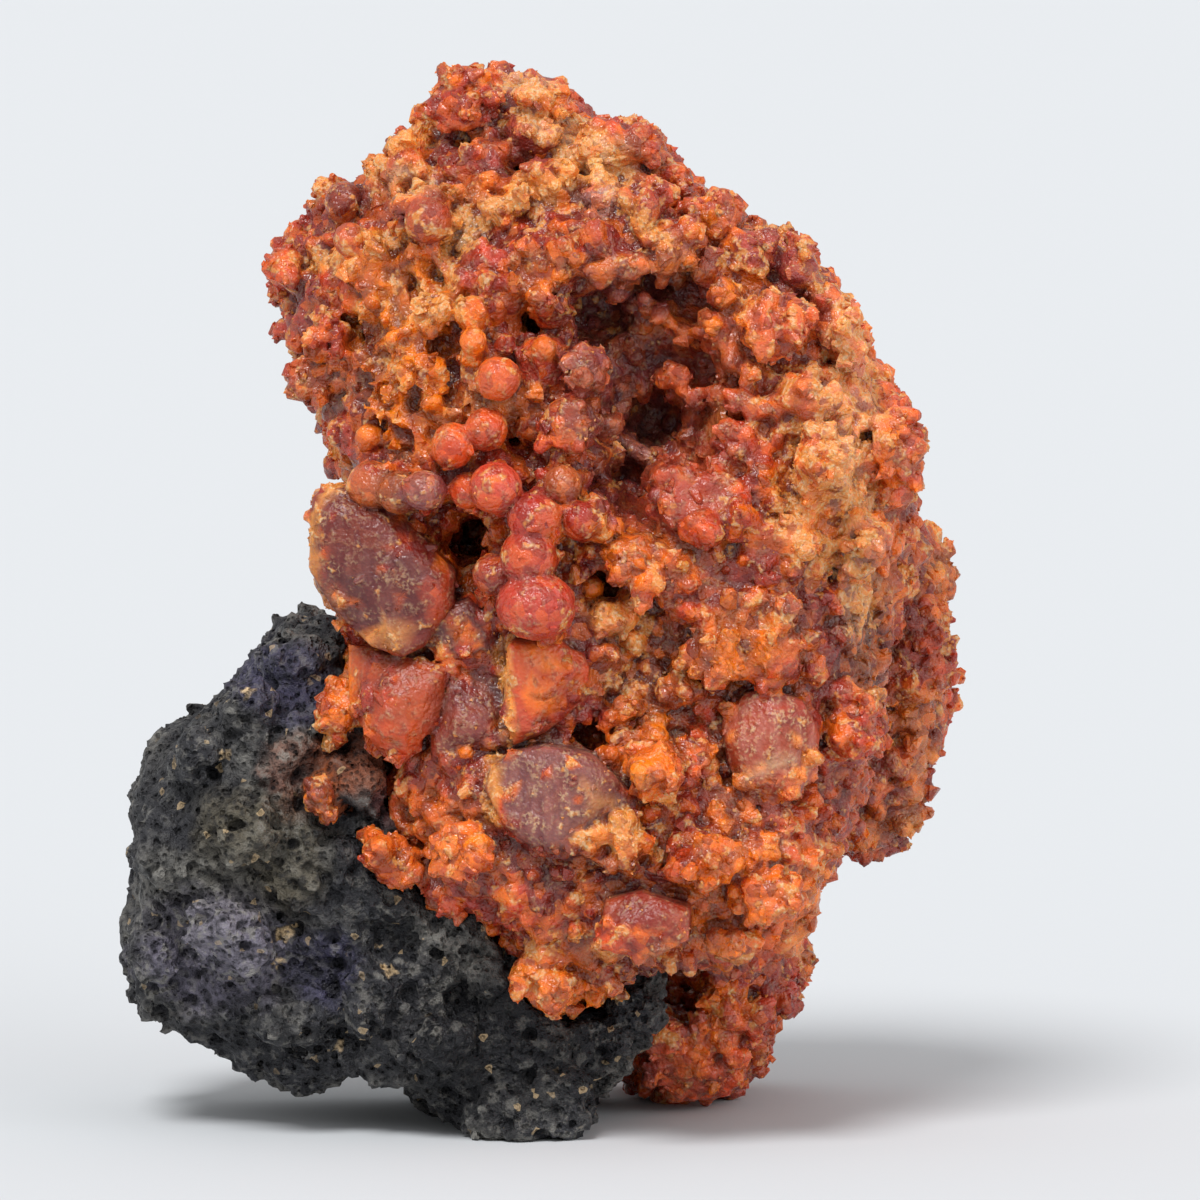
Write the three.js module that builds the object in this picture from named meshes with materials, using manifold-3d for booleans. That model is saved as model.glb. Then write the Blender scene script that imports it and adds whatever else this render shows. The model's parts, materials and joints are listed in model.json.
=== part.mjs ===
// Zincite on matrix: a mineral specimen about as tall as a thumb that stands on its own foot.
// A lobed mass of intergrown orange and red zincite rises out of a dark, porous slag block.
// The mass has an open vug in its front, beads and plates of crystal round the vug, a lobe
// behind its right side and a toe at its lower right. One small cluster sits apart on the slag.
// Millimetres, +Z up, front towards -Y, origin on the floor under the middle of the specimen.

import * as THREE from "three";
import { ImprovedNoise } from "three/addons/math/ImprovedNoise.js";
import { mergeVertices } from "three/addons/utils/BufferGeometryUtils.js";
import Module from "manifold-3d";

const wasm = await Module();
wasm.setup();

// Driving dimensions, in millimetres.
const MASS_FRONT = 15; // how far the mass bulges in front of its widest section
const MASS_BACK = 14; // and behind it
const SLAG_FRONT = 9.5;
const SLAG_BACK = 16;
const TOE_FRONT = 10;
const LOBE_BACK = 6;
const SEAT_GAP = 0.32; // between the zincite and the slag that it grew on
const SWELL_ACROSS = 11; // across one broad swelling of a body
const KNOB_ACROSS = 4.6; // and across one of the small ones on it
const SWELL = 2.4; // how far a body's swellings rise behind
const BROAD_SHARE = 1.5; // the broad swellings' share of that, and the small ones'
const SMALL_SHARE = 1.3;
const FRONT_SHARE = 0.6; // swellings in front are this much lower, so that the pieces there keep their places
const ROUNDER_OVER = 4.0; // lumps with a larger half size than this have four times the faces
const POINT_SUNK = 1.4; // how far inside the outline the pointed crystals have their feet
const EVEN_STEPS = 3; // the outline is evened out over this many steps to each side
const EVEN_ANGLE = 0.2; // and each step is this many radians

// The picture plane: places are given as seen from the front, in steps of a sixteenth of a millimetre,
// across from the left and down from the top, for an eye that looks down by six degrees.
const STEPS_PER_MM = 16;
const ORIGIN_ACROSS = 531;
const ORIGIN_DOWN = 1123;
const LOOK_DOWN = THREE.MathUtils.degToRad(6);

// A point from its place in the picture plane and its depth behind the origin.
function place(across, down, depth) {
  const up = (ORIGIN_DOWN - down) / STEPS_PER_MM;
  const x = (across - ORIGIN_ACROSS) / STEPS_PER_MM;
  const z = (up - depth * Math.sin(LOOK_DOWN)) / Math.cos(LOOK_DOWN);
  return new THREE.Vector3(x, depth, z);
}

// Repeatable random numbers from 0 to 1.
function seeded(seed) {
  let state = seed >>> 0;
  return () => {
    state = (state + 0x6d2b79f5) >>> 0;
    let mixed = Math.imul(state ^ (state >>> 15), state | 1);
    mixed ^= mixed + Math.imul(mixed ^ (mixed >>> 7), mixed | 61);
    return ((mixed ^ (mixed >>> 14)) >>> 0) / 4294967296;
  };
}

// A seed from a piece's place, so that each piece keeps its own roughness.
function seedOf(...numbers) {
  return numbers.reduce((sum, value) => (Math.imul(sum, 31) + Math.round(value * 8)) >>> 0, 7);
}

// Only the positions of a geometry, with shared corners merged.
function welded(geometry) {
  const bare = geometry.clone();
  bare.deleteAttribute("normal");
  bare.deleteAttribute("uv");
  return mergeVertices(bare, 1e-4);
}

function solidFrom(geometry) {
  const mesh = new wasm.Mesh({
    numProp: 3,
    vertProperties: new Float32Array(geometry.attributes.position.array),
    triVerts: new Uint32Array(geometry.index.array),
  });
  return new wasm.Manifold(mesh);
}

function meshOf(solid, name = "", material = undefined) {
  const { vertProperties, triVerts } = solid.getMesh();
  const geometry = new THREE.BufferGeometry();
  geometry.setAttribute("position", new THREE.BufferAttribute(new Float32Array(vertProperties), 3));
  geometry.setIndex(new THREE.BufferAttribute(new Uint32Array(triVerts), 1));
  geometry.computeVertexNormals();
  const mesh = new THREE.Mesh(geometry, material);
  mesh.name = name;
  return mesh;
}

// All the solids in one, joined in pairs.
function joined(solids) {
  let row = solids;
  while (row.length > 1) {
    const next = [];
    for (let i = 0; i < row.length; i += 2) {
      next.push(row[i + 1] ? row[i].add(row[i + 1]) : row[i]);
    }
    row = next;
  }
  return row[0];
}

// The largest of the bodies that a cut leaves.
function mainBody(solid) {
  return solid.decompose().reduce((best, body) => (body.volume() > best.volume() ? body : best));
}

// How far a closed outline lies from its middle at an angle, in picture steps.
function outlineReach(outline, middle, angle) {
  const centre = new THREE.Vector2(...middle);
  const ray = new THREE.Vector2(Math.cos(angle), -Math.sin(angle));
  let farthest = 0;
  for (let i = 0; i < outline.length; i++) {
    const start = new THREE.Vector2(...outline[i]).sub(centre);
    const side = new THREE.Vector2(...outline[(i + 1) % outline.length]).sub(centre).sub(start);
    const turn = ray.cross(side);
    const along = start.cross(side) / turn;
    const share = start.cross(ray) / turn;
    if (share >= 0 && share <= 1) farthest = Math.max(farthest, along);
  }
  return farthest;
}

// A natural body with a known outline from the front: a ball of triangles whose girdle is drawn out
// to the outline, with its own reach to the front and the back and broad and small swellings.
// A fullness under 1 makes it boxier. The outline evens out towards the hidden poles.
function naturalBody(body, grow = 0) {
  const { outline, middle, depth, front, back, detail, fullness = 0.6, swell = SWELL } = body;
  const noise = new ImprovedNoise();
  const shape = welded(new THREE.IcosahedronGeometry(1, detail));
  const corners = shape.attributes.position;
  const corner = new THREE.Vector3();
  const centre = place(...middle, depth);
  for (let i = 0; i < corners.count; i++) {
    corner.fromBufferAttribute(corners, i);
    const girdle = Math.hypot(corner.x, corner.z);
    const angle = Math.atan2(corner.z, corner.x);
    const own = outlineReach(outline, middle, angle);
    let even = 0;
    for (let k = -EVEN_STEPS; k <= EVEN_STEPS; k++) {
      even += outlineReach(outline, middle, angle + k * EVEN_ANGLE) / (2 * EVEN_STEPS + 1);
    }
    const reach = (THREE.MathUtils.lerp(even, own, girdle ** 4) + grow * STEPS_PER_MM) * girdle ** fullness;
    const rise = ((corner.y < 0 ? front : back) + grow) * corner.y;
    const share = corner.y;
    const across = middle[0] + reach * Math.cos(angle);
    const down = middle[1] - reach * Math.sin(angle);
    corner.copy(place(across, down, depth + rise));
    const out = corner.clone().sub(centre).normalize();
    const broad = noise.noise(corner.x / SWELL_ACROSS, corner.y / SWELL_ACROSS + 7, corner.z / SWELL_ACROSS);
    const small = noise.noise(corner.x / KNOB_ACROSS, corner.y / KNOB_ACROSS + 7, corner.z / KNOB_ACROSS);
    const strength = share > 0 ? Math.sqrt(share) : FRONT_SHARE * Math.sqrt(-share);
    corner.addScaledVector(out, swell * strength * (BROAD_SHARE * broad + SMALL_SHARE * small));
    corners.setXYZ(i, corner.x, corner.y, corner.z);
  }
  return solidFrom(shape);
}

// The depth of a mesh's front at a place, as the eye meets it.
function skinDepth(mesh, across, down) {
  const near = place(across, down, -100);
  const sight = place(across, down, 100).sub(near).normalize();
  const [hit] = new THREE.Raycaster(near, sight).intersectObject(mesh);
  if (!hit) throw new Error(`nothing lies at ${across}, ${down}`);
  return hit.point.y;
}

// A rough lump of crystal: an icosahedron with its corners moved in and out.
// size holds the half sizes in X, Y and Z; tilt turns it in the picture plane, lean about the X axis.
function lump({ at, size, tilt = 0, lean = 0, rough = 0.2 }, grow = 0) {
  const random = seeded(seedOf(...at, ...size));
  const shape = welded(new THREE.IcosahedronGeometry(1, Math.max(...size) > ROUNDER_OVER ? 1 : 0));
  const radii = new THREE.Vector3(...size).addScalar(grow);
  const angles = new THREE.Euler(THREE.MathUtils.degToRad(lean), THREE.MathUtils.degToRad(tilt), 0);
  const centre = place(...at);
  const spin = new THREE.Euler(random() * 3, random() * 3, random() * 3);
  const corners = shape.attributes.position;
  const corner = new THREE.Vector3();
  for (let i = 0; i < corners.count; i++) {
    corner.fromBufferAttribute(corners, i).applyEuler(spin);
    corner.multiplyScalar(1 + rough * (random() - 0.5)).multiply(radii);
    corner.applyEuler(angles).add(centre);
    corners.setXYZ(i, corner.x, corner.y, corner.z);
  }
  return solidFrom(shape);
}

// A plate of crystal: a bevelled slab over an outline, leaned about the X axis and swung about Z.
// Its middle stands proud of the mass by some millimetres, or lies at a depth of its own.
function plate({ outline, proud, depth, thick, bevel = 0.5, lean = 0, swing = 0 }, grow = 0) {
  const middle = [0, 1].map((k) => outline.reduce((sum, corner) => sum + corner[k], 0) / outline.length);
  const behind = depth ?? onMass(...middle)[2] - proud + thick / 2;
  const corners = outline.map(([x, y]) => new THREE.Vector2(x - middle[0], middle[1] - y));
  const shape = new THREE.Shape(corners.map((corner) => corner.divideScalar(STEPS_PER_MM)));
  const slab = new THREE.ExtrudeGeometry(shape, {
    depth: thick - 2 * bevel,
    steps: 1,
    bevelSegments: 1,
    bevelThickness: bevel + grow,
    bevelSize: bevel + grow,
    bevelOffset: -bevel,
  });
  slab.translate(0, 0, bevel - thick / 2);
  slab.rotateX(Math.PI / 2 + THREE.MathUtils.degToRad(lean));
  slab.rotateZ(THREE.MathUtils.degToRad(swing));
  slab.translate(...place(...middle, behind));
  return solidFrom(welded(slab));
}

// A six-sided pyramid with its foot sunk in and its point along a direction, as zincite grows.
function pyramid({ foot, direction, radius, length }) {
  const cone = new THREE.ConeGeometry(radius, length, 6);
  cone.translate(0, length * 0.25, 0);
  cone.applyQuaternion(new THREE.Quaternion().setFromUnitVectors(THREE.Object3D.DEFAULT_UP, direction));
  cone.translate(foot.x, foot.y, foot.z);
  return solidFrom(welded(cone));
}

// A knobbly rope of crystal along a line of places, with its corners moved about.
function rope({ line, radius }, grow = 0) {
  const points = line.map((at) => place(...at));
  const [first, second] = points;
  const [beforeLast, last] = points.slice(-2);
  first.addScaledVector(first.clone().sub(second).normalize(), grow);
  last.addScaledVector(last.clone().sub(beforeLast).normalize(), grow);
  const curve = new THREE.CatmullRomCurve3(points);
  const random = seeded(seedOf(...line[0], radius));
  const ring = [0, 1, 2, 3].map((side) => {
    const angle = (side / 4) * 2 * Math.PI;
    return new THREE.Vector2(Math.cos(angle), Math.sin(angle)).multiplyScalar(radius + grow);
  });
  const steps = Math.max(2, Math.round((curve.getLength() - 2 * grow) / (radius * 2.4)));
  const options = { steps, extrudePath: curve, bevelEnabled: false };
  const shape = welded(new THREE.ExtrudeGeometry(new THREE.Shape(ring), options));
  const corners = shape.attributes.position;
  const corner = new THREE.Vector3();
  for (let i = 0; i < corners.count; i++) {
    const shake = new THREE.Vector3(random() - 0.5, random() - 0.5, random() - 0.5);
    corner.fromBufferAttribute(corners, i).addScaledVector(shake, radius * 0.8);
    corners.setXYZ(i, corner.x, corner.y, corner.z);
  }
  return solidFrom(shape);
}

// The large bodies.
const MASS = {
  outline: [
    [334, 640], [340, 575], [345, 510], [352, 468], [320, 426], [296, 390], [294, 348], [270, 290],
    [266, 258], [293, 236], [301, 202], [349, 171], [393, 148], [413, 126], [450, 86], [493, 62],
    [545, 74], [562, 96], [590, 119], [637, 119], [688, 145], [692, 178], [720, 184], [740, 210],
    [787, 232], [820, 240], [830, 268], [843, 302], [868, 304], [871, 335], [900, 380], [916, 410],
    [911, 440], [921, 520], [910, 600], [893, 680], [868, 790], [846, 862], [820, 893], [812, 926],
    [796, 948], [735, 970], [695, 955], [640, 966], [612, 1000], [578, 1022], [545, 1018], [516, 990],
    [500, 930], [440, 898], [398, 862], [386, 820], [388, 758], [348, 715],
  ],
  middle: [600, 540],
  depth: 1.5,
  front: MASS_FRONT,
  back: MASS_BACK,
  detail: 7,
};
const APRON = {
  outline: [
    [384, 770], [392, 830], [404, 862], [440, 898], [500, 930], [516, 985], [548, 1016], [590, 1018],
    [640, 968], [735, 972], [796, 948], [822, 890], [840, 820], [810, 740], [700, 690], [560, 660],
    [460, 670], [400, 690],
  ],
  middle: [610, 850],
  depth: -6,
  front: 9,
  back: 5,
  detail: 3,
};
const SLAG = {
  outline: [
    [331, 606], [307, 627], [276, 639], [249, 664], [228, 688], [204, 714], [179, 724], [159, 757],
    [137, 790], [125, 824], [132, 866], [137, 899], [110, 918], [111, 948], [123, 985], [157, 1009],
    [177, 1020], [190, 1040], [232, 1057], [265, 1081], [302, 1091], [325, 1091], [348, 1076], [376, 1071],
    [411, 1082], [450, 1106], [464, 1119], [500, 1130], [540, 1139], [569, 1124], [600, 1112], [622, 1092],
    [655, 1040], [670, 960], [660, 860], [625, 770], [590, 715], [520, 700], [440, 690], [380, 640],
  ],
  middle: [400, 890],
  depth: 0,
  front: SLAG_FRONT,
  back: SLAG_BACK,
  detail: 4,
  fullness: 0.5,
  swell: 3.4,
};
const TOE = {
  outline: [
    [613, 1085], [606, 1050], [600, 1010], [625, 985], [660, 965], [720, 940], [801, 941], [809, 958],
    [797, 973], [804, 985], [798, 1005], [779, 1022], [774, 1045], [779, 1065], [762, 1092], [735, 1112],
    [700, 1117], [660, 1117], [632, 1108],
  ],
  middle: [700, 1030],
  depth: 10,
  front: TOE_FRONT,
  back: 8,
  detail: 3,
};
const LOBE = {
  outline: [
    [915, 505], [944, 514], [960, 532], [960, 580], [953, 620], [960, 650], [963, 675], [959, 715],
    [953, 740], [940, 760], [940, 790], [932, 832], [905, 860], [850, 870], [820, 800], [815, 700],
    [830, 600], [870, 535],
  ],
  middle: [890, 690],
  depth: 11,
  front: 7,
  back: LOBE_BACK,
  detail: 3,
};

const massSkin = meshOf(joined([MASS, APRON, TOE, LOBE].map((body) => naturalBody(body))));
const slagSkin = meshOf(naturalBody(SLAG));

// A place on the skin of the mass, sunk behind it by some millimetres (in front of it when negative).
function onMass(across, down, sink = 0) {
  return [across, down, skinDepth(massSkin, across, down) + sink];
}

// A lump on the skin of the mass.
function massLump([across, down, width, height, thickness, sink, tilt = 0]) {
  return { at: onMass(across, down, sink), size: [width, thickness, height], tilt };
}

// Lumps on the front of the mass: across, down, half width, half height, half depth, sink, tilt.
const CROWN_LUMPS = [
  [290, 268, 1.7, 1.8, 2.4, -0.5],
  [404, 165, 2.2, 1.7, 2.2, -0.4, -35],
  [475, 105, 3.0, 2.6, 2.6, -0.5, -30],
  [540, 105, 2.2, 2.0, 2.4, -0.6],
  [620, 150, 3.6, 1.9, 2.6, -0.8],
  [430, 222, 2.2, 1.8, 2.0, -0.6],
  [650, 205, 2.4, 1.8, 2.0, -1.0, 30],
  [708, 225, 2.6, 2.4, 2.4, -0.8],
  [745, 262, 2.6, 2.6, 2.6, -0.9],
  [795, 275, 2.4, 2.4, 2.2, -0.5],
  [320, 380, 1.8, 2.4, 2.0, -0.4, 15],
];
const FLANK_LUMPS = [
  [770, 330, 2.8, 3.0, 2.6, -1.0],
  [830, 335, 2.2, 2.6, 2.4, -0.5],
  [800, 405, 2.6, 2.6, 2.4, -1.0],
  [890, 455, 1.8, 2.8, 2.2, -0.3],
  [820, 470, 2.6, 3.0, 2.4, -1.2],
  [860, 540, 2.2, 3.0, 2.2, -0.8],
  [850, 720, 2.4, 3.2, 2.4, -0.6],
];
const LOWER_LUMPS = [
  [400, 705, 3.2, 3.6, 2.6, -0.8, 25],
  [470, 848, 2.2, 2.2, 1.9, -0.8],
  [640, 925, 3.1, 2.0, 2.2, -1.5, 5],
  [700, 860, 2.6, 2.4, 2.2, -1.2],
  [760, 890, 2.6, 2.4, 2.2, -0.9],
  [730, 940, 2.2, 1.8, 2.2, -0.6],
  [655, 770, 2.4, 2.2, 1.9, -1.0],
  [545, 980, 2.2, 2.2, 2.2, -0.6],
];

// Beads of zincite in the middle and along the left of the vug: across, down, radius, sink.
const BEADS = [
  [500, 380, 1.4, -0.9], [455, 448, 1.55, -0.8], [488, 432, 1.4, -1.0], [497, 490, 1.6, -1.6],
  [470, 490, 1.1, -0.8], [535, 520, 1.7, -1.4], [580, 520, 1.3, -1.0], [563, 485, 1.3, -0.8],
  [495, 575, 1.4, -1.2], [530, 560, 1.9, -1.6], [537, 605, 2.4, -2.2], [375, 485, 1.6, -0.8],
  [398, 492, 1.5, -1.0], [425, 490, 1.5, -1.2],
];

// The cluster that bulges beside the vug.
const CLUSTER = [
  [585, 375, 2.3, -0.4], [570, 428, 2.5, -0.8], [605, 428, 1.7, 0.2], [555, 460, 1.2, -0.8],
];

// Plates and blocks with flat faces.
const PLATES = [
  // The dark lens-shaped crystal at the left.
  {
    outline: [
      [312, 505], [330, 488], [362, 503], [400, 512], [420, 525], [434, 548], [453, 563], [460, 588],
      [452, 608], [430, 620], [424, 648], [408, 658], [378, 650], [348, 628], [325, 598], [310, 570],
    ],
    proud: 2.0, thick: 5, bevel: 1.1, lean: 8, swing: -18,
  },
  // The slab behind and below it.
  { outline: [[425, 612], [470, 600], [500, 625], [494, 655], [440, 659], [420, 640]], proud: 0.6, thick: 4 },
  // The wedge that hangs under the beads.
  {
    outline: [[508, 643], [560, 640], [592, 668], [584, 705], [545, 735], [516, 748], [506, 715]],
    proud: 1.7, thick: 4.2, bevel: 0.7, lean: -8,
  },
  // The frosted slab across the lower middle.
  {
    outline: [
      [487, 783], [497, 760], [530, 746], [585, 752], [620, 790], [652, 838], [640, 868], [596, 872],
      [540, 855], [500, 826],
    ],
    proud: 1.2, thick: 4.4, bevel: 1.0, lean: -20, swing: 4,
  },
  // The upright striated slab at the right.
  {
    outline: [[716, 700], [745, 684], [790, 688], [822, 716], [820, 780], [785, 804], [730, 798]],
    proud: 1.4, thick: 4.4, bevel: 0.9, lean: -10, swing: 14,
  },
  // The block with a pale left face.
  {
    outline: [[684, 590], [722, 578], [790, 588], [802, 640], [790, 682], [735, 690], [686, 676]],
    proud: 1.2, thick: 4.6, bevel: 0.8, lean: -4, swing: 8,
  },
  // The tongue that closes the vug below.
  {
    outline: [[636, 470], [665, 450], [720, 462], [762, 490], [758, 545], [700, 560], [650, 530]],
    proud: 1.0, thick: 4.6, bevel: 0.8, lean: -24, swing: 6,
  },
  // The orange lip below it.
  {
    outline: [[600, 545], [640, 522], [692, 556], [690, 592], [640, 598], [606, 580]],
    proud: 1.0, thick: 3.8, bevel: 0.7, lean: -14,
  },
  // The overhang that shades the top of the vug.
  {
    outline: [[574, 262], [625, 240], [682, 250], [690, 276], [640, 282], [585, 290]],
    proud: 1.0, thick: 4.4, bevel: 0.7, lean: 16,
  },
];

// Shelves inside the vug.
const SHELVES = [
  {
    outline: [[625, 302], [680, 292], [745, 310], [742, 345], [680, 350]],
    depth: -8.2, thick: 4, bevel: 0.6,
  },
  {
    outline: [[632, 366], [690, 358], [745, 372], [742, 404], [685, 414]],
    depth: -7.6, thick: 4, bevel: 0.6, lean: -12,
  },
];

// Hollows, largest first: across, down, half width, half height, half depth, sink, tilt.
const HOLLOWS = [
  [648, 400, 4.9, 8.6, 6.2, 0.6, -8],
  [600, 320, 3.2, 2.6, 4.0, 0.4],
  [465, 560, 2.6, 3.6, 4.0, 0.2, -12],
  [645, 660, 3.0, 3.4, 2.6, 0.2],
  [610, 585, 1.4, 1.5, 2.4, 0.2],
  [515, 445, 0.9, 1.4, 1.8, 0.1],
  [528, 330, 1.1, 1.6, 2.0, 0.2],
  [528, 164, 1.4, 0.7, 1.8, 0.1],
  [356, 335, 1.0, 1.1, 1.6, 0.1],
  [452, 365, 0.8, 1.8, 1.4, 0.1],
  [730, 755, 1.0, 1.4, 1.6, 0.3],
];

// The lower hollow between the mass and its toe.
const TOE_HOLLOWS = [
  { at: [655, 990, 1.5], size: [3.3, 6.0, 1.9], tilt: 18 },
  { at: [612, 1046, 3.0], size: [0.8, 2.0, 0.9] },
];

// A place on the skin of the slag.
function onSlag(across, down, sink = 0) {
  return [across, down, skinDepth(slagSkin, across, down) + sink];
}

// Zincite that runs over the slag: its line across and down, and its radius.
const ROOTS = [
  { line: [[366, 838], [398, 860], [425, 880], [448, 902]], radius: 1.2 },
  { line: [[392, 810], [376, 836]], radius: 1.0 },
  { line: [[446, 900], [442, 925], [447, 950]], radius: 0.75 },
  { line: [[345, 650], [340, 695], [362, 732], [398, 760]], radius: 1.1 },
  { line: [[412, 780], [420, 820]], radius: 1.3 },
].map(({ line, radius }) => ({ line: line.map(([across, down]) => onSlag(across, down, -0.2)), radius }));
const RIDGES = [
  {
    line: [
      [313, 283], [350, 262], [420, 252], [456, 246], [480, 218], [530, 195], [575, 170], [602, 186],
      [636, 215], [662, 242], [690, 265],
    ].map(([across, down]) => onMass(across, down, -0.7)),
    radius: 0.95,
  },
  { line: [[472, 300], [480, 330], [472, 352], [478, 372]].map(([x, y]) => onMass(x, y, -0.4)), radius: 1.0 },
  { line: [[438, 270], [440, 340], [440, 400], [448, 430]].map(([x, y]) => onMass(x, y, -0.3)), radius: 0.7 },
];

// Lumps, ledges and pits of the slag, on its own skin.
const SLAG_LUMPS = [
  [300, 665, 2.6, 2.4, 2.6, 0.2, 20],
  [255, 705, 2.2, 2.2, 2.4, 0.2],
  [205, 760, 2.4, 2.4, 2.8, 0.2, 30],
  [170, 850, 2.4, 2.8, 2.8, 0.2],
  [250, 830, 3.2, 3.0, 2.0, -0.4],
  [235, 930, 3.8, 3.2, 2.4, -0.6, 20],
  [300, 1010, 3.4, 2.8, 2.4, -0.2],
  [160, 955, 2.6, 2.4, 2.8, 0.4],
  [370, 985, 2.8, 3.2, 2.2, 0.2],
  [440, 1040, 3.0, 2.6, 2.6, 0.4],
  [560, 1085, 2.6, 2.2, 3.0, -0.4],
];
// The parts of the slag that reach the floor: in front, and a heel behind that the front hides.
const FEET = [
  { at: [522, 1110, -5.6], size: [4.9, 4.6, 3.5] },
  { at: [470, 1082, 3.5], size: [4.4, 4.4, 3.4] },
  { at: [530, 1076, 9.0], size: [5.4, 4.6, 4.2] },
];
const SLAG_PITS = [
  [345, 815, 1.7, 2.4, 2.2, -0.1, 10],
  [395, 940, 2.0, 1.5, 1.8, -0.1],
  [305, 770, 1.2, 1.4, 1.4, -0.2],
  [180, 905, 0.9, 0.8, 1.2, -0.2],
  [345, 1040, 1.5, 1.2, 1.8, 0],
  [465, 1000, 1.6, 1.4, 1.8, -0.2],
  [555, 1045, 1.3, 1.1, 1.6, -0.2],
];

// Small pointed crystals round the edge of a body, leaning outwards.
function fringe(body, from, to, radius, length) {
  const random = seeded(seedOf(from, to, radius));
  const centre = new THREE.Vector2(...body.middle);
  const crystals = [];
  for (let i = from; i < to; i++) {
    const corner = new THREE.Vector2(...body.outline[i % body.outline.length]);
    const out = corner.clone().sub(centre).normalize();
    const direction = new THREE.Vector3(out.x, random() * 1.6 - 1.1, -out.y).normalize();
    const start = corner.clone().addScaledVector(out, -POINT_SUNK * STEPS_PER_MM);
    const foot = place(start.x, start.y, body.depth - 1 + 2 * random());
    crystals.push(pyramid({ foot, direction, radius: radius * (0.8 + 0.5 * random()), length }));
  }
  return crystals;
}

// The zincite, grown by some millimetres when it is used to cut its own seat in the slag.
function zinciteMass(grow = 0) {
  let solid = joined([MASS, APRON, TOE, LOBE].map((body) => naturalBody(body, grow)));
  if (grow === 0) {
    solid = solid.subtract(joined(HOLLOWS.map((row) => lump({ ...massLump(row), rough: 0.3 }))));
  }
  const lumps = [...CROWN_LUMPS, ...FLANK_LUMPS, ...LOWER_LUMPS].map((row) => lump(massLump(row), grow));
  const beads = [...BEADS, ...CLUSTER].map(([across, down, radius, sink]) =>
    lump({ at: onMass(across, down, sink), size: [radius, radius, radius], rough: 0.1 }, grow),
  );
  const plates = [...PLATES, ...SHELVES].map((item) => plate(item, grow));
  const ridges = [...ROOTS, ...RIDGES].map((item) => rope(item, grow));
  const points = [...fringe(MASS, 23, 35, 1.0, 2.4), ...fringe(TOE, 7, 11, 0.8, 2.0)];
  solid = joined([solid, ...lumps, ...beads, ...plates, ...ridges, ...points]);
  return grow ? solid : solid.subtract(joined(TOE_HOLLOWS.map((item) => lump(item))));
}

const CLUSTER_ON_SLAG = [
  { at: onSlag(322, 792, 0.1), size: [1.3, 1.4, 1.5] },
  { at: onSlag(341, 745, 0.2), size: [1.5, 1.4, 1.3] },
  { at: onSlag(330, 812, 0.2), size: [0.9, 1.0, 0.9] },
];

function slagBlock() {
  const lumps = SLAG_LUMPS.map(([across, down, width, height, thickness, sink, tilt = 0]) =>
    lump({ at: onSlag(across, down, sink), size: [width, thickness, height], tilt, rough: 0.3 }),
  );
  const pits = SLAG_PITS.map(([across, down, width, height, thickness, sink, tilt = 0]) =>
    lump({ at: onSlag(across, down, sink), size: [width, thickness, height], tilt, rough: 0.35 }),
  );
  return joined([naturalBody(SLAG), ...lumps, ...FEET.map((item) => lump(item))]).subtract(joined(pits));
}

// The floor: a slab whose top is at zero, which gives the specimen its flat underside.
function floorSlab() {
  const slab = new THREE.BoxGeometry(200, 200, 50);
  slab.translate(0, 0, -25);
  return solidFrom(welded(slab));
}

const floor = floorSlab();
const zincite = mainBody(zinciteMass().subtract(floor));
const patch = mainBody(joined(CLUSTER_ON_SLAG.map((item) => lump(item))));
const seats = joined([zinciteMass(SEAT_GAP), ...CLUSTER_ON_SLAG.map((item) => lump(item, SEAT_GAP))]);
const slag = mainBody(slagBlock().subtract(seats).subtract(floor));

const charcoal = new THREE.MeshStandardMaterial({ color: 0x3c3e42, roughness: 0.85, metalness: 0 });
const orangeRed = new THREE.MeshStandardMaterial({ color: 0xb4502f, roughness: 0.4, metalness: 0 });
const brown = new THREE.MeshStandardMaterial({ color: 0x8a5230, roughness: 0.5, metalness: 0 });

const specimen = new THREE.Group();
specimen.name = "zincite_on_matrix";
specimen.add(meshOf(slag, "matrix", charcoal));
specimen.add(meshOf(zincite, "zincite_mass", orangeRed));
specimen.add(meshOf(patch, "zincite_patch", brown));

export default specimen;
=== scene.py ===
"""Dresses the zincite specimen on its slag matrix.

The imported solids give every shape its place. Each is turned into a block of signed distances,
on which crystals, beads, lace and pores grow, and comes back as a closed mesh. Geometry nodes
then set fine points of zincite, pale crumbs and grains of slag on the meshes.
"""

from __future__ import annotations

import json
import logging
import math
from dataclasses import dataclass, field
from enum import Enum
from functools import partial
from typing import Callable, Iterator, Sequence

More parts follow.
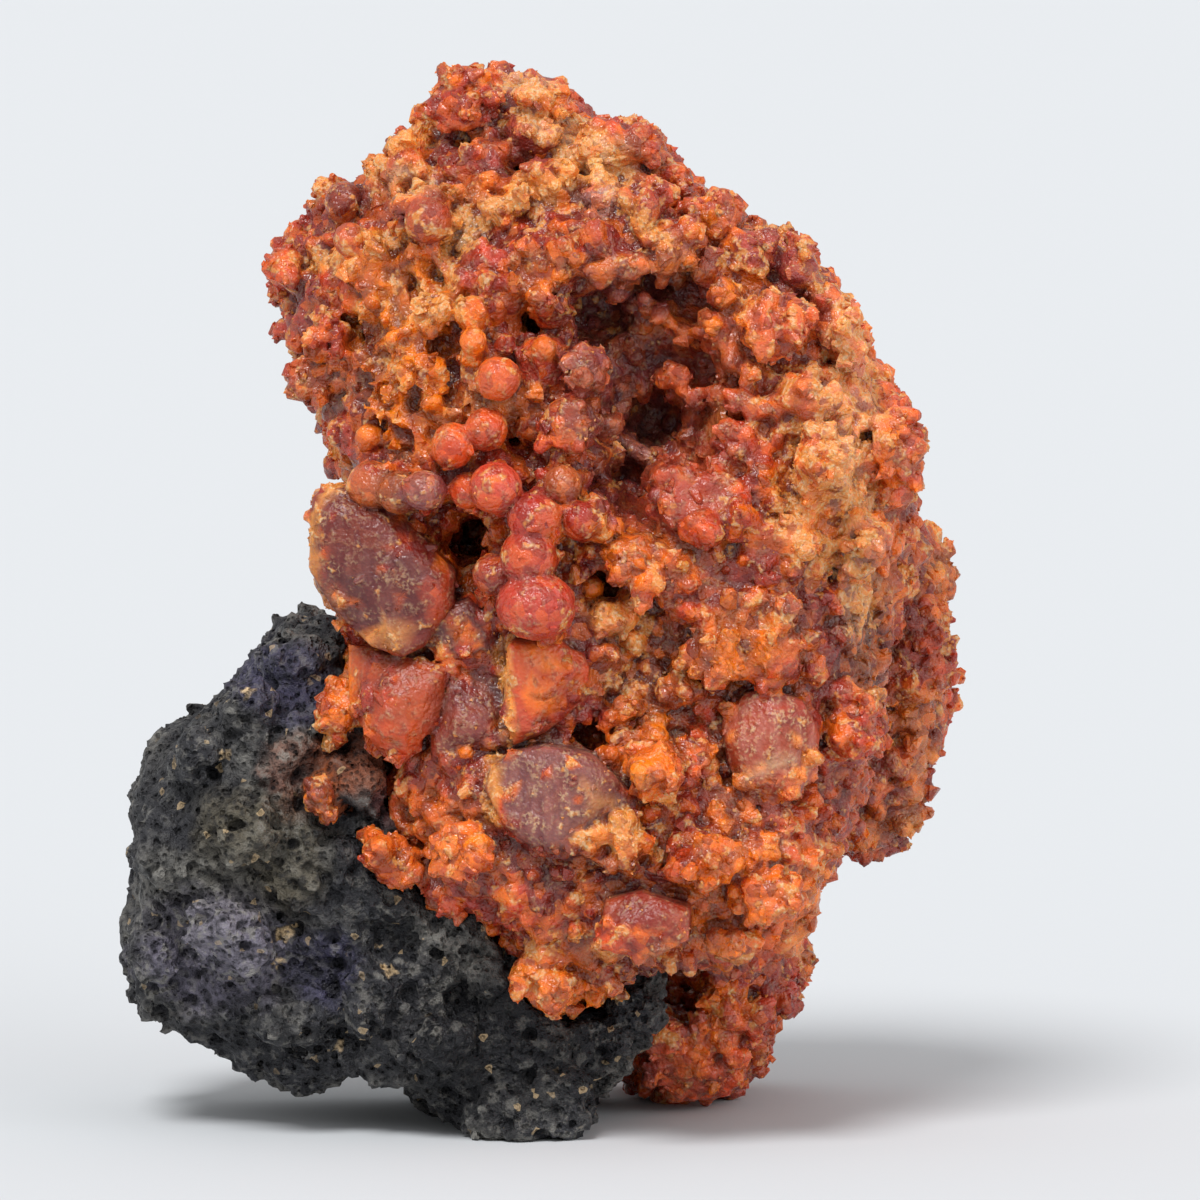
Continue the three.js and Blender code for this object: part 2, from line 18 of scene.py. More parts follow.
import bpy
import numpy as np
import openvdb
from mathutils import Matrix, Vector

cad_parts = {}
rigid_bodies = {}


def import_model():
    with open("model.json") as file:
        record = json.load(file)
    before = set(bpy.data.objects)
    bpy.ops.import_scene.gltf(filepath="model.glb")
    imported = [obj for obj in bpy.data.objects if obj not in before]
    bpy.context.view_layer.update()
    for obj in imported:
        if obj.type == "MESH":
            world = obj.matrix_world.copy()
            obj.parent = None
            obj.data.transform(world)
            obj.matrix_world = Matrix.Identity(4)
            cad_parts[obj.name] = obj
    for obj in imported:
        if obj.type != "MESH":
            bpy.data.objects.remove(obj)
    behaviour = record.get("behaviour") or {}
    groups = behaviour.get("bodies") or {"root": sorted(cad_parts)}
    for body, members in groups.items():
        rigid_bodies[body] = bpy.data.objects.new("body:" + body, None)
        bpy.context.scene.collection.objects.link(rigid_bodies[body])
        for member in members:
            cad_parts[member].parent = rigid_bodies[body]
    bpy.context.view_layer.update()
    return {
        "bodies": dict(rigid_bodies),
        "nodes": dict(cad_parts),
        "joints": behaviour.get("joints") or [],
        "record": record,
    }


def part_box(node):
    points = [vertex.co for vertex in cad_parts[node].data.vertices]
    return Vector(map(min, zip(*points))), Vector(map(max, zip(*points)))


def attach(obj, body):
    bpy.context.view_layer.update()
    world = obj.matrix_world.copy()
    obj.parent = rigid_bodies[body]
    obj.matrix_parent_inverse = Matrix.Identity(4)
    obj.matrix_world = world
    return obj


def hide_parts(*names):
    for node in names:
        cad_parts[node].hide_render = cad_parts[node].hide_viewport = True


LOG = logging.getLogger("specimen")
MM = 0.001
BODY = "root"
PIECE_TRIANGLES = 190_000
# How far growth may stand out of a solid's box: a share of each side, and millimetres at least.
SIDE_MARGIN, LEAST_MARGIN = 0.022, 0.3
# Millimetres round a solid in which distances are known.
SHELL = 2.0
# How the broad shape is blurred, in rounds and voxels, to tell crests from hollows.
BROAD_ROUNDS, BROAD_FACTOR = 4, 2
# Millimetres above the floor where scattered grains begin, and over which they become dense.
BARE_FOOT, FOOT_FADE = 1.2, 0.5
# Millimetres before and behind the origin between which the front skin is looked for.
DEEPEST = 24.0
# Millimetres out of the skin at which the growth that a vertex belongs to is read.
OWNER_STEP = 0.1
# How the edges of ovals wander: by how many steps, over how many millimetres, and by which noise.
RAGGED = ((11, 2.0, 401), (9, 0.8, 402))
Distance = Callable[[np.ndarray], np.ndarray]


def linear(red: float, green: float, blue: float) -> tuple[float, float, float]:
    """Turns a screen colour of 0 to 255 into linear light.

    Args:
        red: The red part.
        green: The green part.
        blue: The blue part.

    Returns:
        The three parts in linear light, from 0 to 1.
    """
    parts = (value / 255 for value in (red, green, blue))
    return tuple(v / 12.92 if v <= 0.04045 else ((v + 0.055) / 1.055) ** 2.4 for v in parts)


class Tint(Enum):
    """The colours of the specimen, in linear light."""

    # Very dark red, mostly painted shade in the zincite's hollows, pits and lace gaps.
    BLOOD = linear(52, 10, 8)
    GARNET = linear(96, 17, 14)
    RED = linear(156, 34, 15)
    RUBY = linear(126, 20, 12)
    ORANGE_RED = linear(206, 70, 20)
    ORANGE = linear(252, 124, 18)
    VIVID = linear(255, 132, 6)
    OCHRE = linear(244, 160, 70)
    PALE = linear(244, 210, 160)
    ROSE = linear(180, 55, 36)
    CORAL = linear(242, 108, 64)
    MAUVE = linear(138, 58, 54)
    PLUM = linear(86, 34, 38)
    HAZE = linear(190, 124, 108)
    BROWN = linear(150, 76, 32)
    FROST = linear(130, 78, 78)
    LILAC = linear(170, 138, 128)
    CHARCOAL = linear(50, 50, 54)
    ASH = linear(138, 135, 128)
    LAVENDER = linear(124, 118, 136)
    VIOLET = linear(70, 66, 98)
    OLIVE = linear(116, 106, 80)
    # Near black: the slag's darkest tone, and painted shade in its pores, hollows and underside.
    BLACK_AND_SHADE = linear(24, 24, 28)


@dataclass(frozen=True)
class PicturePlane:
    """Places as seen from the front, in sixteenths of a millimetre, looking down a little."""

    steps_per_mm: float = 16.0
    origin_across: float = 531.0
    origin_down: float = 1123.0
    look_down: float = math.radians(6.0)

    def of_points(self, points: np.ndarray) -> tuple[np.ndarray, np.ndarray]:
        """Finds where points show.

        Args:
            points: Points in millimetres, in the last axis.

        Returns:
            How far across and how far down they lie.
        """
        up = points[..., 2] * math.cos(self.look_down) + points[..., 1] * math.sin(self.look_down)
        across = points[..., 0] * self.steps_per_mm + self.origin_across
        return across, self.origin_down - up * self.steps_per_mm

    def place(self, across: float, down: float, depth: float | np.ndarray) -> np.ndarray:
        """Gives the point that shows at a place and lies at a depth.

        Args:
            across: The place from the left.
            down: The place from the top.
            depth: Millimetres behind the origin.

        Returns:
            The point or points, in millimetres.
        """
        depth = np.asarray(depth, np.float32)
        up = (self.origin_down - down) / self.steps_per_mm
        height = (up - depth * math.sin(self.look_down)) / math.cos(self.look_down)
        side = np.full_like(height, (across - self.origin_across) / self.steps_per_mm)
        return np.stack([side, depth, height], axis=-1)


PLANE = PicturePlane()


def lattice_random(cells: np.ndarray, seed: int) -> np.ndarray:
    """Gives each lattice cell its own repeatable random number.

    Args:
        cells: Whole numbers, three in the last axis.
        seed: Which set of numbers to give.

    Returns:
        Numbers from 0 to 1.
    """
    i, j, k = (cells[..., axis].astype(np.uint32) for axis in range(3))
    mixed = i * np.uint32(0x9E3779B1) ^ j * np.uint32(0x85EBCA77) ^ k * np.uint32(0xC2B2AE3D)
    mixed ^= np.uint32((seed * 0x27D4EB2F + 0x165667B1) & 0xFFFFFFFF)
    mixed ^= mixed >> np.uint32(15)
    mixed *= np.uint32(0x2C1B3C6D)
    mixed ^= mixed >> np.uint32(12)
    return (mixed >> np.uint32(8)).astype(np.float32) / np.float32(1 << 24)


def cell_corners(base: np.ndarray, part: np.ndarray) -> Iterator[tuple[np.ndarray, np.ndarray]]:
    """Goes round the eight corners of the cells that points lie in.

    Args:
        base: The cells' low corners, as whole numbers.
        part: How far across its cell each point lies, from 0 to 1.

    Returns:
        Each corner's whole-number places and its weights.
    """
    for corner in np.ndindex(2, 2, 2):
        offset = np.array(corner, np.int32)
        yield base + offset, np.prod(np.where(offset == 1, part, 1 - part), axis=-1)


def noise(points: np.ndarray, size: float, seed: int) -> np.ndarray:
    """Smooth noise.

    Args:
        points: Points in millimetres.
        size: The width of one swelling, in millimetres.
        seed: Which noise.

    Returns:
        Values from -1 to 1.
    """
    scaled = points / size
    base = np.floor(scaled)
    part = (scaled - base).astype(np.float32)
    ease = part * part * (3 - 2 * part)
    total = np.zeros(points.shape[:-1], np.float32)
    for corner, weight in cell_corners(base.astype(np.int32), ease):
        total += weight * lattice_random(corner, seed)
    return total * 2 - 1


def layered_noise(points: np.ndarray, size: float, seed: int, layers: int = 3) -> np.ndarray:
    """Noise with finer noise on it.

    Args:
        points: Points in millimetres.
        size: The width of the broadest swelling.
        seed: Which noise.
        layers: How many sizes are added, each half the one before.

    Returns:
        Values from about -1 to 1.
    """
    total = np.zeros(points.shape[:-1], np.float32)
    for layer in range(layers):
        total += noise(points, size / 2**layer, seed + layer) * 0.55**layer
    return total


def length_of(offset: np.ndarray) -> np.ndarray:
    """Gives the lengths of vectors."""
    return np.sqrt(np.einsum("...i,...i->...", offset, offset))


def turn_towards(axis: np.ndarray, spin: float) -> np.ndarray:
    """Makes a rotation that stands a form along an axis.

    Args:
        axis: Where the form's own Z goes.
        spin: How far it is turned round that axis.

    Returns:
        The rows are the form's own axes.
    """
    along = axis / max(float(np.linalg.norm(axis)), 1e-6)
    side = np.cross(along, (0.0, 0.0, 1.0) if abs(along[2]) < 0.9 else (1.0, 0.0, 0.0))
    side = side / np.linalg.norm(side)
    other = np.cross(along, side)
    first = math.cos(spin) * side + math.sin(spin) * other
    return np.stack([first, np.cross(along, first), along]).astype(np.float32)


def ellipsoid(shape: Sequence[float]) -> Distance:
    """Gives the signed distance of an ellipsoid, nearly.

    Args:
        shape: The half widths.

    Returns:
        A function of offsets from its middle.
    """
    half = np.array(shape, np.float32)
    return lambda offset: (length_of(offset / half) - 1) * float(half.min())


class Form(Enum):
    """The small forms that grow on stone, by how many radii they reach from their middle."""

    BEAD = 1.0
    BLOCK = 1.45

    def at(self, radius: float, turn: np.ndarray) -> Distance:
        """Gives the form's signed distance.

        Args:
            radius: The form's half width.
            turn: The form's own axes.

        Returns:
            A function of offsets from the form's middle.
        """
        if self is Form.BEAD:
            return lambda offset: length_of(offset) - radius
        blunt = 0.62

        def block(offset: np.ndarray) -> np.ndarray:
            """Gives the distance of a cube with blunt corners."""
            local = np.abs(offset @ turn.T)
            return np.maximum(local.max(axis=-1), local.sum(axis=-1) * blunt) - radius

        return block


@dataclass(frozen=True)
class Growth:
    """Many small forms on the skin of a stone, or many small hollows in it."""

    form: Form
    spacing: float
    radius: float
    seed: int
    sunk: float = 0.35
    smallest: float = 0.5
    tilt: float = 0.45
    share: float = 1.0
    cut: bool = False


def read(items: bpy.types.bpy_prop_collection, name: str, kind: type = np.float32) -> np.ndarray:
    """Reads a property of three numbers from every item.

    Args:
        items: The items.
        name: The property's name.
        kind: The kind of number.

    Returns:
        One row for each item.
    """
    values = np.empty(3 * len(items), kind)
    items.foreach_get(name, values)
    return values.reshape(-1, 3)


@dataclass
class Stone:
    """A block of signed distances in millimetres, negative inside the stone."""

    low: np.ndarray
    voxel: float
    values: np.ndarray
    growths: int = 0
    owners: np.ndarray = field(init=False)

    def __post_init__(self) -> None:
        """Starts with no growths."""
        self.owners = np.zeros(self.values.shape, np.int32)

    @classmethod
    def of_node(cls, node: bpy.types.Object, voxel: float) -> Stone:
        """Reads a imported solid.

        Args:
            node: The solid's object.
            voxel: The width of a voxel, in millimetres.

        Returns:
            The solid as distances.
        """
        mesh = node.data
        mesh.calc_loop_triangles()
        places = np.round(read(mesh.vertices, "co") / MM, 4)
        merged, index = np.unique(places, axis=0, return_inverse=True)
        triangles = index.reshape(-1)[read(mesh.loop_triangles, "vertices", np.int32)]
        low = np.floor((merged.min(axis=0) - SHELL) / voxel) * voxel
        shape = np.ceil((merged.max(axis=0) + SHELL - low) / voxel).astype(int) + 1
        grid = openvdb.FloatGrid.createLevelSetFromPolygons(
            (merged - low).astype(np.float32),
            triangles=triangles.astype(np.uint32),
            transform=openvdb.createLinearTransform(voxelSize=voxel),
            halfWidth=SHELL / voxel,
        )
        values = np.empty(tuple(shape), np.float32)
        grid.copyToArray(values, ijk=(0, 0, 0))
        return cls(low.astype(np.float32), voxel, values)

    def near_skin(self, reach: float) -> np.ndarray:
        """Finds the voxels near the skin.

        Args:
            reach: How near, in millimetres.

        Returns:
            The voxels' whole-number places.
        """
        return np.argwhere(np.abs(self.values) < reach)

    def centres(self, where: np.ndarray) -> np.ndarray:
        """Gives the places of voxels, in millimetres."""
        return (where * np.float32(self.voxel) + self.low).astype(np.float32)

    def sample(self, points: np.ndarray) -> np.ndarray:
        """Reads the distance at points, between the voxels.

        Args:
            points: Points in millimetres.

        Returns:
            The distances.
        """
        scaled = np.clip((points - self.low) / self.voxel, 0, np.array(self.values.shape) - 1.001)
        base = np.floor(scaled).astype(np.int32)
        part = (scaled - base).astype(np.float32)
        total = np.zeros(points.shape[:-1], np.float32)
        for corner, weight in cell_corners(base, part):
            total += weight * self.values[tuple(np.moveaxis(corner, -1, 0))]
        return total

    def owner_of(self, points: np.ndarray) -> np.ndarray:
        """Tells which growth each point belongs to.

        Args:
            points: Points in millimetres.

        Returns:
            The growths' numbers, 0 where the stone itself shows.
        """
        index = np.rint((points - self.low) / self.voxel).astype(np.int32)
        index = np.clip(index, 0, np.array(self.values.shape) - 1)
        return self.owners[index[..., 0], index[..., 1], index[..., 2]]

    def blurred(self, rounds: int, factor: int = 1) -> Stone:
        """Makes a smoother copy.

        Args:
            rounds: How often the blur runs.
            factor: How many voxels become one, along each side.

        Returns:
            The smoother stone.
        """
        values = self.values[::factor, ::factor, ::factor].copy()
        for _ in range(rounds):
            for axis in range(3):
                values = np.moveaxis(values, axis, 0)
                middle = values[1:-1] * 0.5 + (values[2:] + values[:-2]) * 0.25
                values[1:-1] = middle
                values = np.moveaxis(values, 0, axis)
        return Stone(self.low, self.voxel * factor, values)

    def skin_depth(self, across: float, down: float) -> float:
        """Finds how deep the front skin lies.

        Args:
            across: The place from the left.
            down: The place from the top.

        Returns:
            The depth in millimetres, or infinity if there is no stone.
        """
        depths = np.arange(-DEEPEST, DEEPEST, self.voxel / 2)
        inside = self.sample(PLANE.place(across, down, depths)) < 0
        return float(depths[np.argmax(inside)]) if inside.any() else math.inf

    def stamp(self, centre: np.ndarray, reach: float, form: Distance, cut: bool = False) -> int:
        """Adds or cuts one form.

        Args:
            centre: The form's middle in millimetres.
            reach: How far from it the form reaches.
            form: Gives the form's signed distance at offsets from its middle.
            cut: True to cut it out.

        Returns:
            The number of the growth, or 0 for a cut.
        """
        around = reach + 3 * self.voxel
        first = np.maximum(np.floor((centre - around - self.low) / self.voxel).astype(int), 0)
        last = np.ceil((centre + around - self.low) / self.voxel).astype(int) + 1
        last = np.minimum(last, self.values.shape)
        if np.any(last <= first):
            return 0
        axes = [
            np.arange(a, b, dtype=np.float32) * self.voxel + low - middle
            for a, b, low, middle in zip(first, last, self.low, centre)
        ]
        box = tuple(slice(a, b) for a, b in zip(first, last))
        block = self.values[box]
        distance = form(np.stack(np.meshgrid(*axes, indexing="ij"), axis=-1).astype(np.float32))
        if cut:
            self.values[box] = np.maximum(block, -distance)
            return 0
        self.growths += 1
        self.owners[box][distance < block] = self.growths
        self.values[box] = np.minimum(block, distance)
        return self.growths

    def seeds(self, spacing: float, seed: int) -> tuple[np.ndarray, np.ndarray]:
        """Picks well-spread points of the skin.

        Args:
            spacing: The width of the cell that holds one point.
            seed: Which set of points.

        Returns:
            The points in millimetres and the outward directions there.
        """
        rng = np.random.default_rng(seed)
        where = self.near_skin(0.6 * self.voxel)
        where = where[rng.permutation(len(where))]
        points = self.centres(where)
        cells = np.floor((points + rng.uniform(0, spacing, 3)) / spacing).astype(np.int64)
        # More than the cells along any side, so that each cell has a key of its own.
        stride = 4001
        keys = (cells[:, 0] * stride + cells[:, 1]) * stride + cells[:, 2]
        _, chosen = np.unique(keys, return_index=True)
        points = points[chosen]
        step = self.voxel * 1.5
        slopes = [self.sample(points + step * axis) - self.sample(points - step * axis) for axis in np.eye(3)]
        normals = np.stack(slopes, axis=-1)
        return points, normals / np.maximum(np.linalg.norm(normals, axis=-1, keepdims=True), 1e-6)

    def grow(self, growth: Growth, weight: Distance) -> None:
        """Grows many small forms on the skin, or cuts them.

        Args:
            growth: What grows and how close together.
            weight: Gives how freely it grows at points, from 0 to 1.
        """
        points, normals = self.seeds(growth.spacing, growth.seed)
        rng = np.random.default_rng(growth.seed + 1)
        share = weight(points) * growth.share
        sizes = growth.radius * rng.uniform(growth.smallest, 1.0, len(points))
        kept = rng.random(len(points)) < share
        for point, normal, size in zip(points[kept], normals[kept], sizes[kept]):
            turn = turn_towards(normal + growth.tilt * rng.normal(size=3), rng.uniform(0, math.tau))
            centre = point - normal * size * growth.sunk
            self.stamp(centre, size * growth.form.value, growth.form.at(size, turn), growth.cut)

    def roughen(self, size: float, height: float, seed: int) -> None:
        """Adds noise to the skin.

        Args:
            size: The width of the broadest swelling, in millimetres.
            height: How far it swells.
            seed: Which noise.
        """
        where = self.near_skin(height * 2 + 2.5 * self.voxel)
        lift = layered_noise(self.centres(where), size, seed, 2) * height
        self.values[where[:, 0], where[:, 1], where[:, 2]] += lift

    def keep_within(self, low: np.ndarray, high: np.ndarray) -> None:
        """Cuts off what grew past a box.

        Args:
            low: The box's low corner in millimetres.
            high: Its high corner.
        """
        for axis in range(3):
            place = self.low[axis] + np.arange(self.values.shape[axis], dtype=np.float32) * self.voxel
            outside = np.maximum(low[axis] - place, place - high[axis])
            shape = [1, 1, 1]
            shape[axis] = -1
            self.values = np.maximum(self.values, outside.reshape(shape))

    def mesh(self, name: str) -> bpy.types.Object:
        """Turns the distances into an object.

        Args:
            name: The object's name.

        Returns:
            The object, in metres, thinned to the limit for one piece.
        """
        grid = openvdb.FloatGrid(background=float(np.abs(self.values).max()))
        grid.copyFromArray(self.values)
        points, quads = grid.convertToQuads(isovalue=0.0)
        points = points * self.voxel + self.low
        points[:, 2] = np.maximum(points[:, 2], 0)
        mesh = bpy.data.meshes.new(name)
        mesh.vertices.add(len(points))
        mesh.vertices.foreach_set("co", (points * MM).astype(np.float32).ravel())
        mesh.loops.add(quads.size)
        mesh.loops.foreach_set("vertex_index", quads.astype(np.int32).ravel())
        mesh.polygons.add(len(quads))
        mesh.polygons.foreach_set("loop_start", np.arange(0, quads.size, 4, dtype=np.int32))
        mesh.update(calc_edges=True)
        mesh.validate()
        made = bpy.data.objects.new(name, mesh)
        bpy.context.scene.collection.objects.link(made)
        modifier = made.modifiers.new("thin", "DECIMATE")
        modifier.ratio = min(1.0, PIECE_TRIANGLES / (2 * len(quads)))
        modifier.use_collapse_triangulate = True
        made = baked(made)
        places = read(made.data.vertices, "co")
        places[:, 2] = np.maximum(places[:, 2], 0)
        made.data.vertices.foreach_set("co", places.ravel())
        return made


def baked(source: bpy.types.Object) -> bpy.types.Object:
    """Replaces an object by the mesh that its modifiers make.

    Args:
        source: The object with modifiers.

    Returns:
        The plain object, with the same name.
    """
    graph = bpy.context.evaluated_depsgraph_get()
    mesh = bpy.data.meshes.new_from_object(source.evaluated_get(graph), depsgraph=graph)
    name = source.name
    source.modifiers.clear()
    bpy.data.objects.remove(source)
    mesh.name = name
    made = bpy.data.objects.new(name, mesh)
    bpy.context.scene.collection.objects.link(made)
    return made


def store_colour(piece: bpy.types.Object, name: str, colour: np.ndarray) -> None:
    """Keeps a colour for each vertex.

    Args:
        piece: The object.
        name: The attribute's name.
        colour: Three parts for each vertex, in linear light.
    """
    attribute = piece.data.color_attributes.new(name, "FLOAT_COLOR", "POINT")
    full = np.ones((len(colour), 4), np.float32)
    full[:, :3] = np.clip(colour, 0, 1)
    attribute.data.foreach_set("color", full.ravel())


def store_value(piece: bpy.types.Object, name: str, values: np.ndarray) -> None:
    """Keeps a number for each vertex.

    Args:
        piece: The object.
        name: The attribute's name.
        values: One number for each vertex.
    """
    attribute = piece.data.attributes.new(name, "FLOAT", "POINT")
    attribute.data.foreach_set("value", np.clip(values, 0, 1).astype(np.float32))


def finish_piece(piece: bpy.types.Object, material: bpy.types.Material, angle: float) -> None:
    """Gives a piece its material and crisp edges.

    Args:
        piece: The piece.
        material: Its material.
        angle: Edges sharper than this many degrees stay crisp.
    """
    piece.data.materials.clear()
    piece.data.materials.append(material)
    piece.data.polygons.foreach_set("use_smooth", [True] * len(piece.data.polygons))
    piece.data.set_sharp_from_angle(angle=math.radians(angle))
    piece.data.update()


def lerp(colour: np.ndarray, tint: Tint, share: np.ndarray) -> np.ndarray:
    """Moves colours towards a tint.

    Args:
        colour: The colours.
        tint: The tint.
        share: How far each goes, from 0 to 1.

    Returns:
        The new colours.
    """
    part = np.clip(share, 0, 1).astype(np.float32)[:, None]
    return colour * (1 - part) + np.array(tint.value, np.float32) * part


def two_tints(first: Tint, second: Tint, share: np.ndarray) -> np.ndarray:
    """Mixes two tints by a share for each vertex."""
    start = np.repeat(np.array([first.value], np.float32), len(share), axis=0)
    return lerp(start, second, share)


def front_share(points: np.ndarray, depth: float = 5.0) -> np.ndarray:
    """Gives how much points belong to the front.

    Args:
        points: Points in millimetres.
        depth: Where the back begins.

    Returns:
        1 in front, 0 behind.
    """
    return np.clip((depth - points[..., 1]) / 5.0, 0, 1)


@dataclass(frozen=True)
class Mottle:
    """Patches of a tint laid by noise, where its gain, the lift and the crest add up to over 0."""

    tint: Tint
    size: float
    seed: int
    gain: float
    lift: float
    crest: float
    most: float

    def over(self, colour: np.ndarray, points: np.ndarray, crest: np.ndarray) -> np.ndarray:
        """Lays the tint over colours, strongest where the noise is high."""
        share = self.gain * noise(points, self.size, self.seed) + self.lift + self.crest * crest
        return lerp(colour, self.tint, np.clip(share, 0, self.most))


def drawn_out(points: np.ndarray, share: float) -> np.ndarray:
    """Squashes heights to a share, so that noise there is drawn out upwards."""
    return points * np.array((1.0, 1.0, share), np.float32)


def hollow_shade_share(crest: np.ndarray) -> np.ndarray:
    """Gives the share of painted shade: 1 in hollows and 0 where the skin stands out."""
    return np.clip((0.10 - crest) / 0.5, 0, 1)


def above_foot(points: np.ndarray) -> np.ndarray:
    """Gives 0 close to the floor, where no grains are scattered, and 1 above."""
    return np.clip((points[:, 2] - BARE_FOOT) / FOOT_FADE, 0, 1)


@dataclass(frozen=True)
class Oval:
    """An oval area of the front, with a colour of its own where one is given."""

    across: float
    down: float
    width: float
    height: float
    tint: Tint | None = None
    strength: float = 0.8
    turn: float = 0.0

    def radius(self, across: np.ndarray, down: np.ndarray) -> np.ndarray:
        """Gives how far out places lie, with 1 on the oval's edge.

        Args:
            across: How far right the places lie in the picture.
            down: How far down they lie in it.

        Returns:
            One value for each place.
        """
        turn = math.radians(self.turn)
        x, y = across - self.across, down - self.down
        along = (x * math.cos(turn) + y * math.sin(turn)) / self.width
        over = (-x * math.sin(turn) + y * math.cos(turn)) / self.height
        return np.sqrt(along**2 + over**2)

    def weight(self, points: np.ndarray) -> np.ndarray:
        """Gives 1 for points that show inside the oval and 0 well outside."""
        return np.clip((1.25 - self.radius(*PLANE.of_points(points))) / 0.3, 0, 1)


def painted(points: np.ndarray, colour: np.ndarray, patches: Sequence[Oval], front: np.ndarray) -> np.ndarray:
    """Lays ovals of colour over a base colour, with ragged edges.

    Args:
        points: The vertices in millimetres.
        colour: Their colours so far.
        patches: The ovals, in order.
        front: How much each vertex belongs to the front, from 0 to 1.

    Returns:
        The new colours.
    """
    across, down = PLANE.of_points(points)
    for steps, size, seed in RAGGED:
        across = across + steps * noise(points, size, seed)
        down = down + steps * noise(points, size, seed + 2)
    for patch in patches:
        share = patch.strength * np.clip((1.2 - patch.radius(across, down)) / 0.4, 0, 1) * front
        colour = lerp(colour, patch.tint, share)
    return colour


@dataclass(frozen=True)
class Pit:
    """A hollow of the front: its place and radius there, and its depth in millimetres."""

    across: float
    down: float
    radius: float
    deep: float

    def cut(self, stone: Stone) -> None:
        """Cuts the pit into a stone, where there is stone.

        Args:
            stone: The stone.
        """
        depth = stone.skin_depth(self.across, self.down)
        if math.isfinite(depth):
            size = self.radius / PLANE.steps_per_mm
            centre = PLANE.place(self.across, self.down, depth + 0.4 * self.deep)
            stone.stamp(centre, max(size, self.deep), ellipsoid((size, self.deep, size)), True)


@dataclass(frozen=True)
class Bead:
    """A round growth on the front."""

    across: float
    down: float
    radius: float
    tint: Tint
    proud: float = 0.45

    def placed(self, stone: Stone) -> tuple[np.ndarray, float, Distance, Distance] | None:
        """Finds the bead's place on a stone.

        Args:
            stone: The stone that it grows on.

        Returns:
            Its middle, its reach, the room in front of it and its form, or None off the stone.
        """
        size = self.radius / PLANE.steps_per_mm
        depth = stone.skin_depth(self.across, self.down)
        if math.isinf(depth):
            return None
        centre = PLANE.place(self.across, self.down, depth + size * (1 - 2 * self.proud))
        rng = np.random.default_rng(int(self.across + self.down))
        uneven = 1 + 0.10 * rng.uniform(-1, 1, 3)
        ahead = np.array((0, -0.7 * size, 0), np.float32)
        room = ellipsoid((size,) * 3)
        return centre, size * 1.8, lambda offset: room(offset - ahead), ellipsoid(size * uneven)


@dataclass(frozen=True)
class LargeCrystal:
    """A flat-faced crystal: its convex outline from the front, and how its face leans."""

    outline: tuple[tuple[float, float], ...]
    proud: float
    thick: float
    bevel: float
    lean: float
    swing: float
    tint: Tint
    frost: float = 0.6
    facets: int = 4

    def planes(self, front: float) -> tuple[np.ndarray, np.ndarray, np.ndarray]:
        """Works out the crystal's faces.

        Args:
            front: The depth of its front face.

        Returns:
            Its middle, the faces' directions and their distances from the middle.
        """
        corners = np.stack([PLANE.place(across, down, front) for across, down in self.outline])
        middle = corners.mean(axis=0)
        lean, swing = math.radians(self.lean), math.radians(self.swing)
        facing = np.array((math.sin(swing), -math.cos(swing) * math.cos(lean), math.sin(lean)))
        facing /= np.linalg.norm(facing)
        directions, distances = [facing, -facing], [0.0, self.thick]
        for corner, other in zip(corners, np.roll(corners, -1, axis=0)):
            along = other - corner
            outward = np.array((-along[2], 0.0, along[0]))
            outward /= np.linalg.norm(outward)
            if outward @ (corner - middle) < 0:
                outward = -outward
            reach = float(outward @ (corner - middle))
            slope = (outward + facing) / np.linalg.norm(outward + facing)
            directions += [outward, slope]
            distances += [reach, (reach - self.bevel) / float(np.linalg.norm(outward + facing))]
        # Shallow facets break up the front face.
        rng = np.random.default_rng(int(middle[0] * 10 + middle[2] * 100))
        width = float(np.abs(corners - middle).max())
        for _ in range(self.facets):
            facet = facing + 0.32 * rng.normal(size=3)
            facet /= np.linalg.norm(facet)
            directions.append(facet)
            distances.append(width * rng.uniform(0.04, 0.16))
        return middle, np.array(directions, np.float32), np.array(distances, np.float32)

    def placed(self, stone: Stone) -> tuple[np.ndarray, float, Distance, Distance] | None:
        """Finds the crystal's place on a stone.

        Args:
            stone: The stone that it grows on.

        Returns:
            Its middle, its reach, the room in front of it and its form, or None off the stone.
        """
        spots = np.array(self.outline)
        spot = spots.mean(axis=0)
        depths = [stone.skin_depth(*(0.55 * corner + 0.45 * spot)) for corner in spots]
        depth = float(np.median(depths + [stone.skin_depth(*spot)]))
        if math.isinf(depth):
            return None
        middle, directions, distances = self.planes(depth - self.proud * 0.6)
        reach = float(np.abs(spots - spot).max()) / PLANE.steps_per_mm * 1.2 + 1.0
        walls = slice(2, 2 + 2 * len(spots), 2)

        def solid(offset: np.ndarray) -> np.ndarray:
            """Gives the distance of the crystal."""
            return (offset @ directions.T - distances).max(axis=-1)

        def room(offset: np.ndarray) -> np.ndarray:
            """Gives the distance of the room kept free in front of it."""
            inside = (offset @ directions[walls].T - distances[walls] + 0.5 * self.bevel).max(axis=-1)
            return np.maximum(inside, -(offset @ directions[0]))

        return middle, reach, room, solid


def add_node(tree: bpy.types.NodeTree, kind: str, settings: dict, inputs: dict) -> bpy.types.Node:
    """Adds a node to a tree.

    Args:
        tree: The tree.
        kind: The node's type.
        settings: Its properties, set first.
        inputs: Values or sockets by input name or number.

    Returns:
        The node.
    """
    made = tree.nodes.new(kind)
    for key, value in settings.items():
        setattr(made, key, value)
    for key, value in inputs.items():
        if isinstance(value, bpy.types.NodeSocket):
            tree.links.new(value, made.inputs[key])
        else:
            made.inputs[key].default_value = value
    return made


